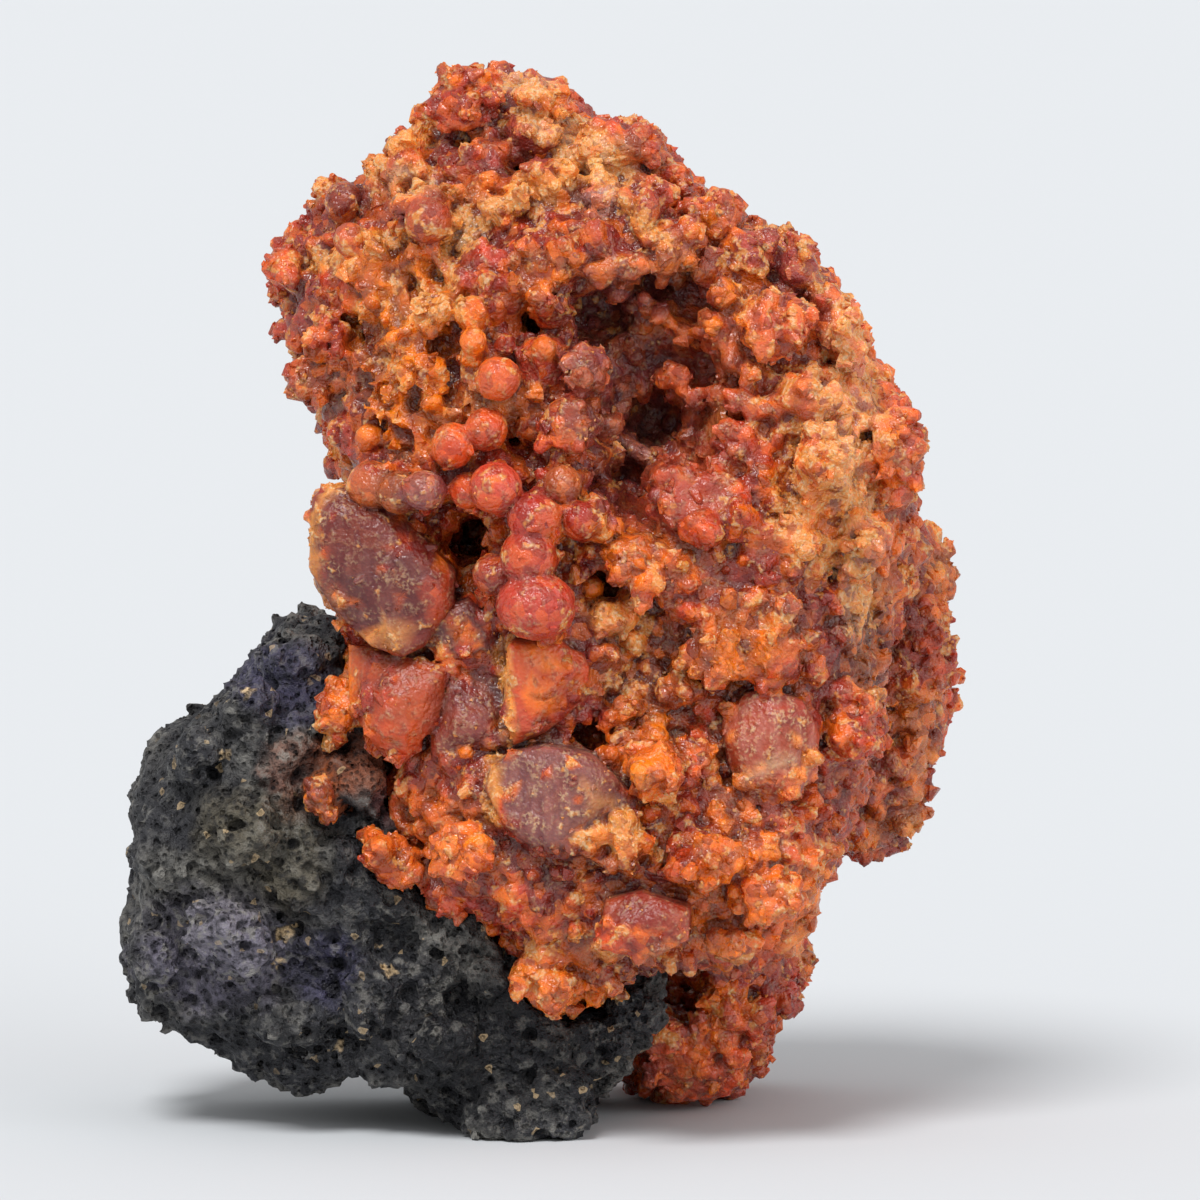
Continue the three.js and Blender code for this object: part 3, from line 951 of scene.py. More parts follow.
class Socket:
    """A shader socket that can be used in Python sums."""

    def __init__(self, graph: Graph, socket: bpy.types.NodeSocket) -> None:
        """Wraps a socket of a graph."""
        self.graph = graph
        self.socket = socket

    def _maths(self, operation: str, *values: Socket | float) -> Socket:
        """Adds a Math node.

        Args:
            operation: What the node does.
            values: Its inputs.

        Returns:
            The node's result.
        """
        return self.graph.node("ShaderNodeMath", {"operation": operation}, dict(enumerate(values)))

    def __add__(self, other: Socket | float) -> Socket:
        """Adds."""
        return self._maths("ADD", self, other)

    __radd__ = __add__

    def __mul__(self, other: Socket | float) -> Socket:
        """Multiplies."""
        return self._maths("MULTIPLY", self, other)

    __rmul__ = __mul__

    def __sub__(self, other: Socket | float) -> Socket:
        """Takes another value from this one."""
        return self._maths("SUBTRACT", self, other)

    def __rsub__(self, other: Socket | float) -> Socket:
        """Takes this value from another one."""
        return self._maths("SUBTRACT", other, self)

    def between(self, low: float, high: float) -> Socket:
        """Stretches a range.

        Args:
            low: The value that becomes 0.
            high: The value that becomes 1.

        Returns:
            The stretched value, kept from 0 to 1.
        """
        inputs = {"Value": self, "From Min": low, "From Max": high, "To Min": 0.0, "To Max": 1.0}
        return self.graph.node("ShaderNodeMapRange", {}, inputs)


class Graph:
    """Builds the nodes of one material."""

    def __init__(self, name: str) -> None:
        """Starts an empty material.

        Args:
            name: The material's name.
        """
        self.material = bpy.data.materials.new(name)
        self.material.use_nodes = True
        self.tree = self.material.node_tree
        self.tree.nodes.clear()

    def node(self, kind: str, settings: dict, inputs: dict, output: int | str = 0) -> Socket:
        """Adds a node.

        Args:
            kind: The node's type.
            settings: Its properties, set first.
            inputs: Values or sockets by input name or number.
            output: Which output to return.

        Returns:
            The wrapped output.
        """
        plain = {key: value.socket if isinstance(value, Socket) else value for key, value in inputs.items()}
        return Socket(self, add_node(self.tree, kind, settings, plain).outputs[output])

    def attribute(self, name: str, output: str = "Fac") -> Socket:
        """Reads an attribute of the mesh."""
        return self.node("ShaderNodeAttribute", {"attribute_name": name}, {}, output)

    def object_place(self) -> Socket:
        """Gives places on the piece, in metres."""
        return self.node("ShaderNodeTexCoord", {}, {}, "Object")

    def speckle(self, scale: float, detail: float, stretch: float = 1.0) -> Socket:
        """Makes noise.

        Args:
            scale: Swellings per metre.
            detail: How many finer layers it has.
            stretch: Under 1, how much the swellings are drawn out along a slanting line.

        Returns:
            Values round 0.5.
        """
        place = self.object_place()
        if stretch < 1:
            settings = {"Vector": place, "Rotation": (0.3, 0.9, 0.2), "Scale": (1.0, 1.0, stretch)}
            place = self.node("ShaderNodeMapping", {}, settings)
        inputs = {"Vector": place, "Scale": scale, "Detail": detail, "Roughness": 0.6}
        return self.node("ShaderNodeTexNoise", {}, inputs)

    def cells(self, scale: float) -> tuple[Socket, Socket]:
        """Makes cells like packed grains.

        Args:
            scale: Cells per metre.

        Returns:
            How far each place is from the middle of its cell, and each cell's own value.
        """
        inputs = {"Vector": self.object_place(), "Scale": scale}
        distance = self.node("ShaderNodeTexVoronoi", {}, inputs, "Distance")
        return distance, Socket(self, distance.socket.node.outputs["Color"])

    def mix(self, share: Socket | float, first: Socket | tuple, second: Socket | tuple) -> Socket:
        """Mixes two colours.

        Args:
            share: How much of the second shows.
            first: The first colour.
            second: The second colour.

        Returns:
            The mixed colour.
        """
        full = [(*c, 1.0) if isinstance(c, tuple) else c for c in (first, second)]
        settings = {"data_type": "RGBA", "blend_type": "MIX"}
        return self.node("ShaderNodeMix", settings, {0: share, 6: full[0], 7: full[1]}, 2)

    def bump(self, height: Socket, strength: float, distance: float) -> Socket:
        """Turns heights into normals.

        Args:
            height: The heights, from 0 to 1.
            strength: How much the normals follow them.
            distance: What a height of 1 stands for, in metres.

        Returns:
            The normals.
        """
        inputs = {"Strength": strength, "Distance": distance, "Height": height}
        return self.node("ShaderNodeBump", {}, inputs)

    def finish(self, shader: Socket) -> bpy.types.Material:
        """Sends a shader to the output.

        Args:
            shader: The shader.

        Returns:
            The material.
        """
        out = self.tree.nodes.new("ShaderNodeOutputMaterial")
        self.tree.links.new(shader.socket, out.inputs["Surface"])
        return self.material


@dataclass(frozen=True)
class ZinciteFinish:
    """Translucent crystal with frost and ochre dust on it.

    It reads the attributes for tint, dust and highlight, frost and smooth; the dust and highlight cover is
    partly real ochre dust, partly painted highlight on crests and on what faces up.
    """

    name: str = "zincite"
    glow: float = 0.33
    glow_depth: float = 0.0012
    glow_colour: tuple[float, float, float] = (1.0, 0.30, 0.10)
    dust_and_highlight: float = 0.58
    spread: float = 0.22
    bleach: float = 0.0
    relief: float = 0.00050
    clumps_per_metre: float = 1100.0
    grains_per_metre: float = 4200.0
    streaks_per_metre: float = 1500.0
    cells_per_metre: float = 1250.0
    refraction: float = 1.7
    shine: float = 0.36

    def material(self) -> bpy.types.Material:
        """Builds the material.

        Returns:
            The material.
        """
        graph = Graph(self.name)
        coarse = graph.speckle(self.clumps_per_metre, 2.0)
        fine = graph.speckle(self.grains_per_metre, 1.0)
        streak = graph.speckle(self.streaks_per_metre, 1.0, 0.25)
        grain, own = graph.cells(self.cells_per_metre)
        tint = graph.attribute("tint", "Color")
        dust_and_highlight = graph.attribute("dust_and_highlight")
        frost = graph.attribute("frost")
        crust = 1 - graph.attribute("smooth") * 0.85
        base = graph.mix(own.between(0.55, 0.80) * crust * 0.35, tint, Tint.ORANGE.value)
        base = graph.mix(own.between(0.48, 0.20) * crust * 0.50, base, Tint.GARNET.value)
        base = graph.mix(coarse.between(0.52, 0.66) * 0.50, base, Tint.GARNET.value)
        base = graph.mix(streak.between(0.42, 0.66) * frost * 0.35, base, Tint.HAZE.value)
        sugar = fine.between(0.46, 0.62) * coarse.between(0.44, 0.60)
        base = graph.mix(sugar * (frost * 0.30 + 0.08), base, Tint.PALE.value)
        # Cream cover: real ochre dust, and painted highlight where the dust attribute carries it.
        cover = (coarse + dust_and_highlight * self.spread).between(0.66, 0.74)
        cream = graph.mix(fine.between(0.48, 0.68), Tint.OCHRE.value, Tint.PALE.value)
        base = graph.mix(cover * self.dust_and_highlight, base, cream)
        base = graph.mix(self.bleach, base, Tint.OCHRE.value)
        rough = fine.between(0.35, 0.65) * 0.22 + cover * 0.22 - crust * 0.19 + 0.36
        height = coarse * 0.7 + fine * (crust * 0.22 + 0.14) - grain * crust * 0.5
        bump = graph.bump(height, 0.8, self.relief)
        shader = graph.node(
            "ShaderNodeBsdfPrincipled",
            {"subsurface_method": "RANDOM_WALK"},
            {
                "Base Color": base,
                "Roughness": rough,
                "Subsurface Weight": self.glow,
                "Subsurface Radius": self.glow_colour,
                "Subsurface Scale": self.glow_depth,
                "IOR": self.refraction,
                "Specular IOR Level": self.shine,
                "Normal": bump,
            },
        )
        return graph.finish(shader)


@dataclass(frozen=True)
class SlagFinish:
    """Dark porous slag with pale specks.

    It reads the attributes for tint and for dust and highlight, which lays pale ash on crests and in pale
    patches, partly as painted highlight.
    """

    name: str = "slag"
    relief: float = 0.00045
    clumps_per_metre: float = 1300.0
    grains_per_metre: float = 5200.0
    cells_per_metre: float = 2400.0
    shine: float = 0.35

    def material(self) -> bpy.types.Material:
        """Builds the material.

        Returns:
            The material.
        """
        graph = Graph(self.name)
        coarse = graph.speckle(self.clumps_per_metre, 5.0)
        fine = graph.speckle(self.grains_per_metre, 2.0)
        hollow, own = graph.cells(self.cells_per_metre)
        pore = hollow.between(0.40, 0.10)
        tint = graph.attribute("tint", "Color")
        dust_and_highlight = graph.attribute("dust_and_highlight")
        base = graph.mix(coarse.between(0.50, 0.62) * 0.7, tint, Tint.BLACK_AND_SHADE.value)
        base = graph.mix(coarse.between(0.48, 0.38) * (dust_and_highlight * 0.7 + 0.05), base, Tint.ASH.value)
        # Painted shade: the pores are darkened towards near black.
        base = graph.mix(pore * 0.55, base, Tint.BLACK_AND_SHADE.value)
        base = graph.mix(own.between(0.90, 0.92) * 0.35, base, Tint.PALE.value)
        rough = fine.between(0.3, 0.7) * 0.35 + 0.34
        height = coarse + fine * 0.35 - pore * 0.8
        bump = graph.bump(height, 1.0, self.relief)
        inputs = {"Base Color": base, "Roughness": rough, "Specular IOR Level": self.shine, "Normal": bump}
        return graph.finish(graph.node("ShaderNodeBsdfPrincipled", {}, inputs))


@dataclass
class ZinciteMass:
    """The mass of zincite crystals, with its large crystals, beads, lace and hollows."""

    node: str
    voxel: float = 0.25
    inset: float = 0.62
    finish: ZinciteFinish = field(default_factory=ZinciteFinish)
    fine_under: float = 1.7
    crisp_angle: float = 42.0
    growths: tuple[Growth, ...] = (
        Growth(Form.BEAD, 3.3, 1.8, 11, sunk=0.72),
        Growth(Form.BLOCK, 2.2, 1.05, 12, sunk=0.60, tilt=0.9),
        Growth(Form.BEAD, 2.3, 0.90, 13, sunk=-0.20, smallest=0.4, share=0.5, cut=True),
        Growth(Form.BLOCK, 1.5, 0.72, 14, sunk=0.52, tilt=0.9, share=0.9),
        Growth(Form.BEAD, 1.4, 0.60, 15, sunk=0.50, share=0.5),
        Growth(Form.BLOCK, 1.1, 0.46, 17, sunk=0.45, tilt=0.9, share=0.6),
    )
    overgrowths: tuple[Growth, ...] = (
        Growth(Form.BLOCK, 2.1, 0.50, 18, sunk=0.60, tilt=0.9, share=0.22),
    )
    vug: Oval | None = Oval(650, 400, 78, 130, None, 1.0, -8)
    lace: Oval | None = Oval(405, 365, 48, 95)
    lace_holes: Growth = Growth(Form.BLOCK, 1.9, 1.0, 21, sunk=0.10, tilt=1.5, cut=True)
    mottles: tuple[Mottle, ...] = (
        Mottle(Tint.MAUVE, 6.0, 67, gain=1.12, lift=-0.14, crest=0.0, most=0.7),
        Mottle(Tint.OCHRE, 4.2, 71, gain=1.1, lift=-0.35, crest=0.6, most=0.7),
    )
    # Painted highlight: orange laid on the crests.
    glint: Mottle = Mottle(Tint.ORANGE, 2.5, 73, gain=0.25, lift=-0.175, crest=0.5, most=0.35)
    pits: tuple[Pit, ...] = (
        Pit(600, 318, 34, 3.0), Pit(690, 300, 34, 2.5), Pit(700, 372, 26, 2.0), Pit(655, 420, 34, 3.0),
        Pit(625, 480, 24, 2.5), Pit(355, 335, 15, 3.0), Pit(530, 168, 20, 3.5), Pit(538, 328, 20, 4.0),
        Pit(515, 440, 12, 3.0), Pit(655, 288, 22, 2.5), Pit(732, 385, 16, 2.5), Pit(733, 415, 14, 2.5),
        Pit(470, 540, 30, 4.5), Pit(610, 580, 18, 3.0), Pit(590, 735, 24, 3.0), Pit(640, 980, 26, 4.5),
        Pit(682, 975, 24, 4.0), Pit(612, 1046, 11, 3.0), Pit(590, 480, 16, 2.5), Pit(700, 470, 12, 1.5),
        Pit(380, 842, 18, 1.5), Pit(600, 625, 10, 2.0),
    )
    large: tuple[LargeCrystal, ...] = (
        LargeCrystal(
            ((425, 612), (470, 600), (500, 625), (494, 655), (440, 659), (420, 640)),
            0.4, 4.0, 0.5, 0, 0, Tint.PLUM, 0.35,
        ),
        LargeCrystal(
            ((350, 650), (400, 658), (452, 665), (440, 720), (412, 756), (378, 748), (352, 706)),
            1.5, 4.0, 1.2, 6, -8, Tint.RUBY, 0.2,
        ),
        LargeCrystal(
            ((452, 672), (490, 664), (508, 690), (506, 748), (480, 790), (436, 786), (432, 735)),
            2.7, 4.0, 1.2, 4, -2, Tint.GARNET, 0.55,
        ),
        LargeCrystal(
            ((316, 500), (345, 492), (400, 514), (430, 545), (458, 572), (456, 604), (428, 646), (404, 658),
             (372, 647), (335, 610), (312, 572)),
            2.0, 5.0, 1.1, 6, -4, Tint.GARNET, 0.35,
        ),
        LargeCrystal(
            ((509, 643), (560, 640), (590, 668), (584, 702), (548, 732), (514, 746), (506, 712)),
            1.1, 4.2, 0.8, -8, 6, Tint.ORANGE_RED, 0.4,
        ),
        LargeCrystal(
            ((486, 790), (493, 768), (514, 753), (548, 746), (590, 754), (618, 778), (640, 806), (656, 838),
             (652, 862), (620, 872), (580, 866), (538, 850), (504, 822)),
            1.6, 4.4, 0.9, -5, 3, Tint.FROST, 0.7,
        ),
        LargeCrystal(
            ((720, 722), (744, 694), (768, 690), (800, 702), (818, 738), (812, 776), (782, 802), (744, 798),
             (726, 764)),
            1.3, 4.4, 1.2, -2, 5, Tint.ROSE, 1.0, 8,
        ),
        LargeCrystal(
            ((605, 900), (640, 890), (690, 905), (688, 938), (640, 958), (600, 940)),
            0.8, 4.0, 0.9, -10, 0, Tint.RED, 0.2,
        ),
        LargeCrystal(
            ((398, 278), (408, 276), (414, 312), (410, 326), (400, 322)),
            0.8, 1.6, 0.2, 0, -20, Tint.ORANGE, 0.2,
        ),
    )
    beads: tuple[Bead, ...] = (
        Bead(495, 575, 22, Tint.RUBY),
        Bead(530, 558, 28, Tint.RED),
        Bead(537, 606, 37, Tint.ROSE, 0.40),
        Bead(470, 492, 20, Tint.ORANGE_RED),
        Bead(497, 490, 25, Tint.ROSE, 0.6),
        Bead(535, 520, 25, Tint.RED),
        Bead(580, 522, 19, Tint.RED),
        Bead(592, 588, 12, Tint.ORANGE),
        Bead(563, 487, 19, Tint.BROWN),
        Bead(455, 448, 23, Tint.ORANGE_RED),
        Bead(488, 432, 22, Tint.ORANGE_RED),
        Bead(500, 382, 22, Tint.ORANGE_RED),
        Bead(545, 352, 12, Tint.ORANGE),
        Bead(375, 487, 24, Tint.BROWN),
        Bead(402, 494, 20, Tint.BROWN),
        Bead(427, 492, 20, Tint.FROST),
        Bead(430, 225, 24, Tint.ROSE),
        Bead(352, 243, 16, Tint.ORANGE_RED),
        Bead(345, 205, 20, Tint.GARNET),
        Bead(372, 440, 15, Tint.ORANGE),
        Bead(475, 345, 13, Tint.ORANGE),
        Bead(655, 735, 13, Tint.VIVID),
        Bead(640, 770, 12, Tint.VIVID),
    )
    patches: tuple[Oval, ...] = (
        Oval(475, 105, 45, 38, Tint.ROSE, 0.7),
        Oval(545, 100, 30, 26, Tint.ORANGE, 0.7),
        Oval(530, 85, 30, 16, Tint.PALE, 0.5),
        Oval(575, 130, 30, 14, Tint.OCHRE, 0.6, 30),
        Oval(500, 150, 60, 26, Tint.MAUVE, 0.6),
        Oval(400, 150, 40, 14, Tint.OCHRE, 0.6, -35),
        Oval(410, 188, 34, 14, Tint.PALE, 0.5, -20),
        Oval(320, 185, 30, 10, Tint.OCHRE, 0.6, -40),
        Oval(340, 205, 36, 24, Tint.GARNET, 0.6),
        Oval(282, 265, 24, 28, Tint.ORANGE_RED, 0.6),
        Oval(430, 222, 32, 26, Tint.ROSE, 0.7),
        Oval(365, 250, 70, 12, Tint.OCHRE, 0.75, -14),
        Oval(462, 235, 36, 14, Tint.OCHRE, 0.8, -50),
        Oval(535, 195, 60, 15, Tint.OCHRE, 0.75, -30),
        Oval(600, 170, 40, 16, Tint.OCHRE, 0.6, 20),
        Oval(640, 225, 42, 12, Tint.OCHRE, 0.6, 45),
        Oval(595, 200, 28, 14, Tint.LILAC, 0.7),
        Oval(620, 245, 40, 18, Tint.RED, 0.6),
        Oval(400, 350, 55, 90, Tint.ORANGE, 0.65),
        Oval(425, 300, 40, 30, Tint.OCHRE, 0.5),
        # Painted shade: the pit here is laid in blood red.
        Oval(355, 335, 18, 16, Tint.BLOOD, 0.8),
        Oval(300, 310, 22, 40, Tint.MAUVE, 0.6),
        Oval(320, 385, 30, 28, Tint.BROWN, 0.7),
        Oval(475, 335, 16, 42, Tint.ORANGE, 0.8),
        Oval(545, 300, 34, 24, Tint.ORANGE_RED, 0.7),
        Oval(590, 375, 36, 38, Tint.MAUVE, 0.75),
        Oval(565, 428, 42, 36, Tint.ROSE, 0.75),
        Oval(640, 320, 84, 62, Tint.PLUM, 0.85),
        Oval(645, 430, 66, 56, Tint.PLUM, 0.85),
        Oval(640, 440, 22, 26, Tint.LILAC, 0.35),
        Oval(600, 490, 34, 30, Tint.PLUM, 0.75),
        Oval(690, 345, 46, 22, Tint.ORANGE_RED, 0.6),
        Oval(690, 392, 46, 18, Tint.ORANGE_RED, 0.6),
        Oval(700, 490, 58, 36, Tint.ORANGE_RED, 0.6, 20),
        Oval(650, 560, 46, 28, Tint.ORANGE, 0.65, 20),
        Oval(740, 290, 46, 46, Tint.ROSE, 0.6),
        Oval(720, 230, 40, 40, Tint.MAUVE, 0.6),
        Oval(790, 270, 40, 40, Tint.MAUVE, 0.55),
        Oval(740, 300, 24, 24, Tint.VIVID, 0.6),
        Oval(622, 160, 22, 20, Tint.VIVID, 0.7),
        Oval(675, 330, 34, 12, Tint.VIVID, 0.5),
        Oval(605, 545, 18, 18, Tint.VIVID, 0.6),
        Oval(530, 300, 30, 14, Tint.VIVID, 0.5),
        Oval(380, 390, 22, 40, Tint.VIVID, 0.5),
        Oval(850, 390, 50, 90, Tint.CORAL, 0.75),
        Oval(770, 350, 50, 50, Tint.CORAL, 0.6),
        Oval(885, 470, 30, 80, Tint.CORAL, 0.7),
        Oval(820, 500, 46, 70, Tint.OCHRE, 0.45),
        Oval(885, 500, 18, 90, Tint.ORANGE, 0.55),
        Oval(790, 440, 40, 50, Tint.ORANGE_RED, 0.6),
        Oval(740, 640, 40, 30, Tint.VIVID, 0.6),
        Oval(800, 600, 30, 40, Tint.MAUVE, 0.6),
        Oval(868, 650, 30, 40, Tint.BLOOD, 0.65),
        Oval(936, 590, 26, 60, Tint.VIVID, 0.65),
        Oval(925, 700, 26, 60, Tint.CORAL, 0.75),
        Oval(880, 790, 50, 60, Tint.RED, 0.7),
        Oval(650, 670, 60, 50, Tint.BROWN, 0.75),
        Oval(640, 745, 40, 40, Tint.ORANGE, 0.6),
        Oval(620, 620, 30, 20, Tint.OCHRE, 0.4),
        Oval(540, 670, 22, 26, Tint.VIVID, 0.7),
        Oval(510, 690, 8, 50, Tint.OCHRE, 0.8),
        Oval(493, 790, 9, 34, Tint.OCHRE, 0.85, 12),
        Oval(600, 830, 60, 18, Tint.OCHRE, 0.35, 25),
        Oval(570, 870, 70, 20, Tint.GARNET, 0.7, 10),
        Oval(750, 890, 80, 60, Tint.ORANGE, 0.6),
        Oval(800, 830, 40, 40, Tint.ORANGE_RED, 0.6),
        Oval(777, 850, 10, 10, Tint.VIVID, 0.9),
        Oval(560, 985, 60, 34, Tint.ORANGE, 0.7, 20),
        Oval(545, 930, 50, 30, Tint.ROSE, 0.6),
        Oval(430, 830, 60, 50, Tint.ORANGE, 0.6),
        Oval(340, 690, 16, 46, Tint.ORANGE, 0.75),
        Oval(400, 730, 26, 20, Tint.VIVID, 0.5),
        Oval(445, 575, 16, 22, Tint.ORANGE_RED, 0.5),
        Oval(330, 492, 22, 7, Tint.OCHRE, 0.9, -20),
        Oval(314, 540, 7, 40, Tint.OCHRE, 0.6),
        # Painted shade: the cavities in the foot are laid in blood red.
        Oval(660, 990, 60, 30, Tint.BLOOD, 0.75),
        # The toe in coral: partly its own pink, partly painted light lifting the shade it sits in.
        Oval(700, 1055, 90, 50, Tint.CORAL, 0.9),
        Oval(770, 1000, 30, 50, Tint.RED, 0.7),
        Oval(640, 1070, 30, 20, Tint.MAUVE, 0.6),
        # Painted highlights: pale streaks along the top ridge and down the right side.
        Oval(575, 150, 60, 18, Tint.PALE, 0.40, 25),
        Oval(470, 240, 40, 12, Tint.PALE, 0.35, -50),
        Oval(845, 400, 30, 90, Tint.PALE, 0.35),
        Oval(855, 560, 20, 70, Tint.PALE, 0.30),
        Oval(410, 340, 14, 60, Tint.VIVID, 0.60),
        Oval(380, 330, 10, 40, Tint.VIVID, 0.60),
    )
    details: tuple[Oval, ...] = (
        Oval(388, 590, 48, 42, Tint.PLUM, 0.55),
        Oval(334, 520, 20, 34, Tint.GARNET, 0.6),
        Oval(447, 600, 10, 30, Tint.ORANGE_RED, 0.7),
        Oval(440, 560, 10, 12, Tint.ORANGE, 0.85),
        Oval(390, 634, 24, 6, Tint.OCHRE, 0.8, 12),
        Oval(330, 492, 22, 7, Tint.OCHRE, 0.9, -20),
        Oval(314, 540, 6, 40, Tint.OCHRE, 0.6),
        Oval(400, 740, 44, 16, Tint.ORANGE_RED, 0.5),
        Oval(344, 690, 14, 46, Tint.ORANGE, 0.8),
        Oval(455, 780, 30, 18, Tint.RED, 0.7),
        Oval(480, 695, 24, 36, Tint.MAUVE, 0.6),
        Oval(512, 690, 8, 50, Tint.OCHRE, 0.85),
        Oval(540, 665, 14, 14, Tint.VIVID, 0.8),
        Oval(545, 700, 14, 16, Tint.ORANGE, 0.8),
        Oval(493, 790, 9, 34, Tint.OCHRE, 0.85, 12),
        Oval(612, 800, 40, 8, Tint.OCHRE, 0.6, 40),
        Oval(600, 862, 50, 10, Tint.GARNET, 0.7, 8),
        Oval(775, 770, 30, 6, Tint.PALE, 0.45, -20),
        Oval(740, 715, 20, 20, Tint.CORAL, 0.6),
    )

    def build(self, frame: dict) -> bpy.types.Object:
        """Builds the mass with its crystals.

        Args:
            frame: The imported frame.

        Returns:
            The finished piece.
        """
        packed = Stone.of_node(frame["nodes"][self.node], self.voxel)
        stone = packed.blurred(1)
        stone.values += self.inset
        for pit in self.pits:
            pit.cut(stone)
        for growth in self.growths:
            coarse = growth.spacing > self.fine_under
            stone.grow(growth, lambda points, coarse=coarse: self._room_for(points, coarse))
        if self.lace:
            stone.grow(self.lace_holes, self._on_lace)
        placed = [(form, form.placed(stone)) for form in (*self.large, *self.beads)]
        placed = [(form, place) for form, place in placed if place]
        # Room is cleared before all of them first, so that none cuts into another.
        for _, (middle, reach, room, _) in placed:
            stone.stamp(middle, reach, room, True)
        special = {stone.stamp(middle, reach, solid): form for form, (middle, reach, _, solid) in placed}
        for growth in self.overgrowths:
            stone.grow(growth, lambda points: np.ones(len(points)))
        stone.roughen(0.8, 0.04, 31)
        stone.keep_within(*growth_box(frame, self.node))
        return self._dressed(stone, special)

    def _in_vug(self, points: np.ndarray) -> np.ndarray:
        """Gives how far points lie in the vug, from 0 to 1."""
        return self.vug.weight(points) * front_share(points) if self.vug else np.zeros(len(points))

    def _on_lace(self, points: np.ndarray) -> np.ndarray:
        """Gives how far points lie on the lace, from 0 to 1."""
        return self.lace.weight(points) * front_share(points, 0.0) if self.lace else np.zeros(len(points))

    def _room_for(self, points: np.ndarray, coarse: bool) -> np.ndarray:
        """Gives how freely growths grow: coarse ones stay out of the vug."""
        return 1 - 0.95 * self._in_vug(points) if coarse else np.ones(len(points))

    def _dressed(self, stone: Stone, special: dict[int, Bead | LargeCrystal]) -> bpy.types.Object:
        """Makes the mesh and gives it its colours.

        Args:
            stone: The grown mass.
            special: The large crystals and the beads by growth number.

        Returns:
            The finished piece.
        """
        broad = stone.blurred(BROAD_ROUNDS, BROAD_FACTOR)
        piece = stone.mesh(self.node + "_crystals")
        points = read(piece.data.vertices, "co") / MM
        normals = read(piece.data.vertex_normals, "vector")
        crest = broad.sample(points)
        owner = stone.owner_of(points + OWNER_STEP * normals)
        calm = np.isin(owner, [number for number in special if number])
        colour = self._colours(points, owner, crest, special)
        store_colour(piece, "tint", colour)
        faces = [number for number, form in special.items() if number and isinstance(form, LargeCrystal)]
        front = front_share(points)
        # Ochre dust lies on crests and on what faces up, in clouds and in drawn-out flecks; part of it, and
        # the pale ovals that add to it, is painted highlight.
        dust_and_highlight = 0.14 + 0.7 * crest + 0.5 * noise(points, 3.0, 52) + 0.22 * normals[:, 2]
        dust_and_highlight = dust_and_highlight + 0.65 * noise(drawn_out(points, 0.4), 1.0, 55)
        for patch in (*self.patches, *self.details):
            if patch.tint in (Tint.OCHRE, Tint.PALE):
                dust_and_highlight = dust_and_highlight + 0.95 * patch.weight(points) * front
        dust_and_highlight = dust_and_highlight - 0.4 * self._in_vug(points)
        store_value(piece, "dust_and_highlight", dust_and_highlight * np.where(np.isin(owner, faces), 0.25, np.where(calm, 0.6, 1.0)))
        smooth = np.where(np.isin(owner, faces), 1.0, 0.35 * calm)
        store_value(piece, "smooth", np.maximum(smooth, 0.6 * self._in_vug(points)))
        frost = 0.15 + 0.3 * noise(points, 3.0, 53)
        for number, form in special.items():
            level = form.frost if isinstance(form, LargeCrystal) else 0.2
            frost = np.where(owner == number, level + 0.3 * noise(points, 1.5, 54), frost)
        store_value(piece, "frost", frost)
        above = above_foot(points)
        store_value(piece, "crumb", above * np.clip(dust_and_highlight, 0, 1) * np.where(calm, 0.3, 1.0))
        store_value(piece, "druse", above * np.where(calm, 0.06, np.clip(0.40 + crest, 0, 1)))
        finish_piece(piece, self.finish.material(), self.crisp_angle)
        return piece

    def _colours(
        self,
        points: np.ndarray,
        owner: np.ndarray,
        crest: np.ndarray,
        special: dict[int, Bead | LargeCrystal],
    ) -> np.ndarray:
        """Works out the colour of each vertex.

        Args:
            points: The vertices in millimetres.
            owner: Which growth each belongs to.
            crest: How far each stands out from the broad shape.
            special: The large crystals and the beads by growth number.

        Returns:
            Colours in linear light.
        """
        rng = np.random.default_rng(77)
        own = rng.random((int(owner.max()) + 1, 3)).astype(np.float32)[owner]
        wide = layered_noise(points, 9.0, 61, 2)
        close = layered_noise(points, 3.4, 64, 2)
        colour = two_tints(Tint.RED, Tint.ORANGE_RED, 0.5 + 0.9 * close)
        colour = lerp(colour, Tint.ROSE, 0.8 * np.clip(0.35 + 1.3 * wide, 0, 1))
        for mottle in self.mottles:
            colour = mottle.over(colour, points, crest)
        colour = painted(points, colour, self.patches, front_share(points))
        # Some crystals are brighter or duller than those round them.
        colour = lerp(colour, Tint.ORANGE, 0.45 * (own[:, 0] > 0.82))
        colour = lerp(colour, Tint.MAUVE, 0.45 * (own[:, 0] < 0.15))
        colour = lerp(colour, Tint.VIVID, 0.60 * (own[:, 1] > 0.95))
        for number, form in special.items():
            colour = lerp(colour, form.tint, 0.82 * (owner == number))
        colour = painted(points, colour, self.details, front_share(points))
        vug = self._in_vug(points)
        colour = lerp(colour, Tint.MAUVE, vug * (0.45 - 0.5 * crest) * (owner != 0))
        # Painted highlights: orange glints and a coral rim on the crests.
        colour = self.glint.over(colour, points, crest)
        colour = lerp(colour, Tint.CORAL, np.clip((crest - 0.15) * 0.6, 0, 0.30) * (own[:, 1] < 0.6))
        colour = colour * (0.66 + 0.64 * own[:, 2:3])
        lace = self._on_lace(points)
        # Vivid orange strands of lace, with painted shade in the drawn-out gaps between them.
        gap = np.clip((0.05 - noise(drawn_out(points, 0.3), 0.9, 81)) / 0.25, 0, 1)
        colour = lerp(colour, Tint.VIVID, 0.8 * lace * (1 - gap))
        colour = lerp(colour, Tint.BLOOD, 0.35 * lace * gap)
        # Painted shade: hollows are darkened towards blood red, less so in the vug.
        return lerp(colour, Tint.BLOOD, hollow_shade_share(crest) * 0.95 * (1 - 0.8 * vug))


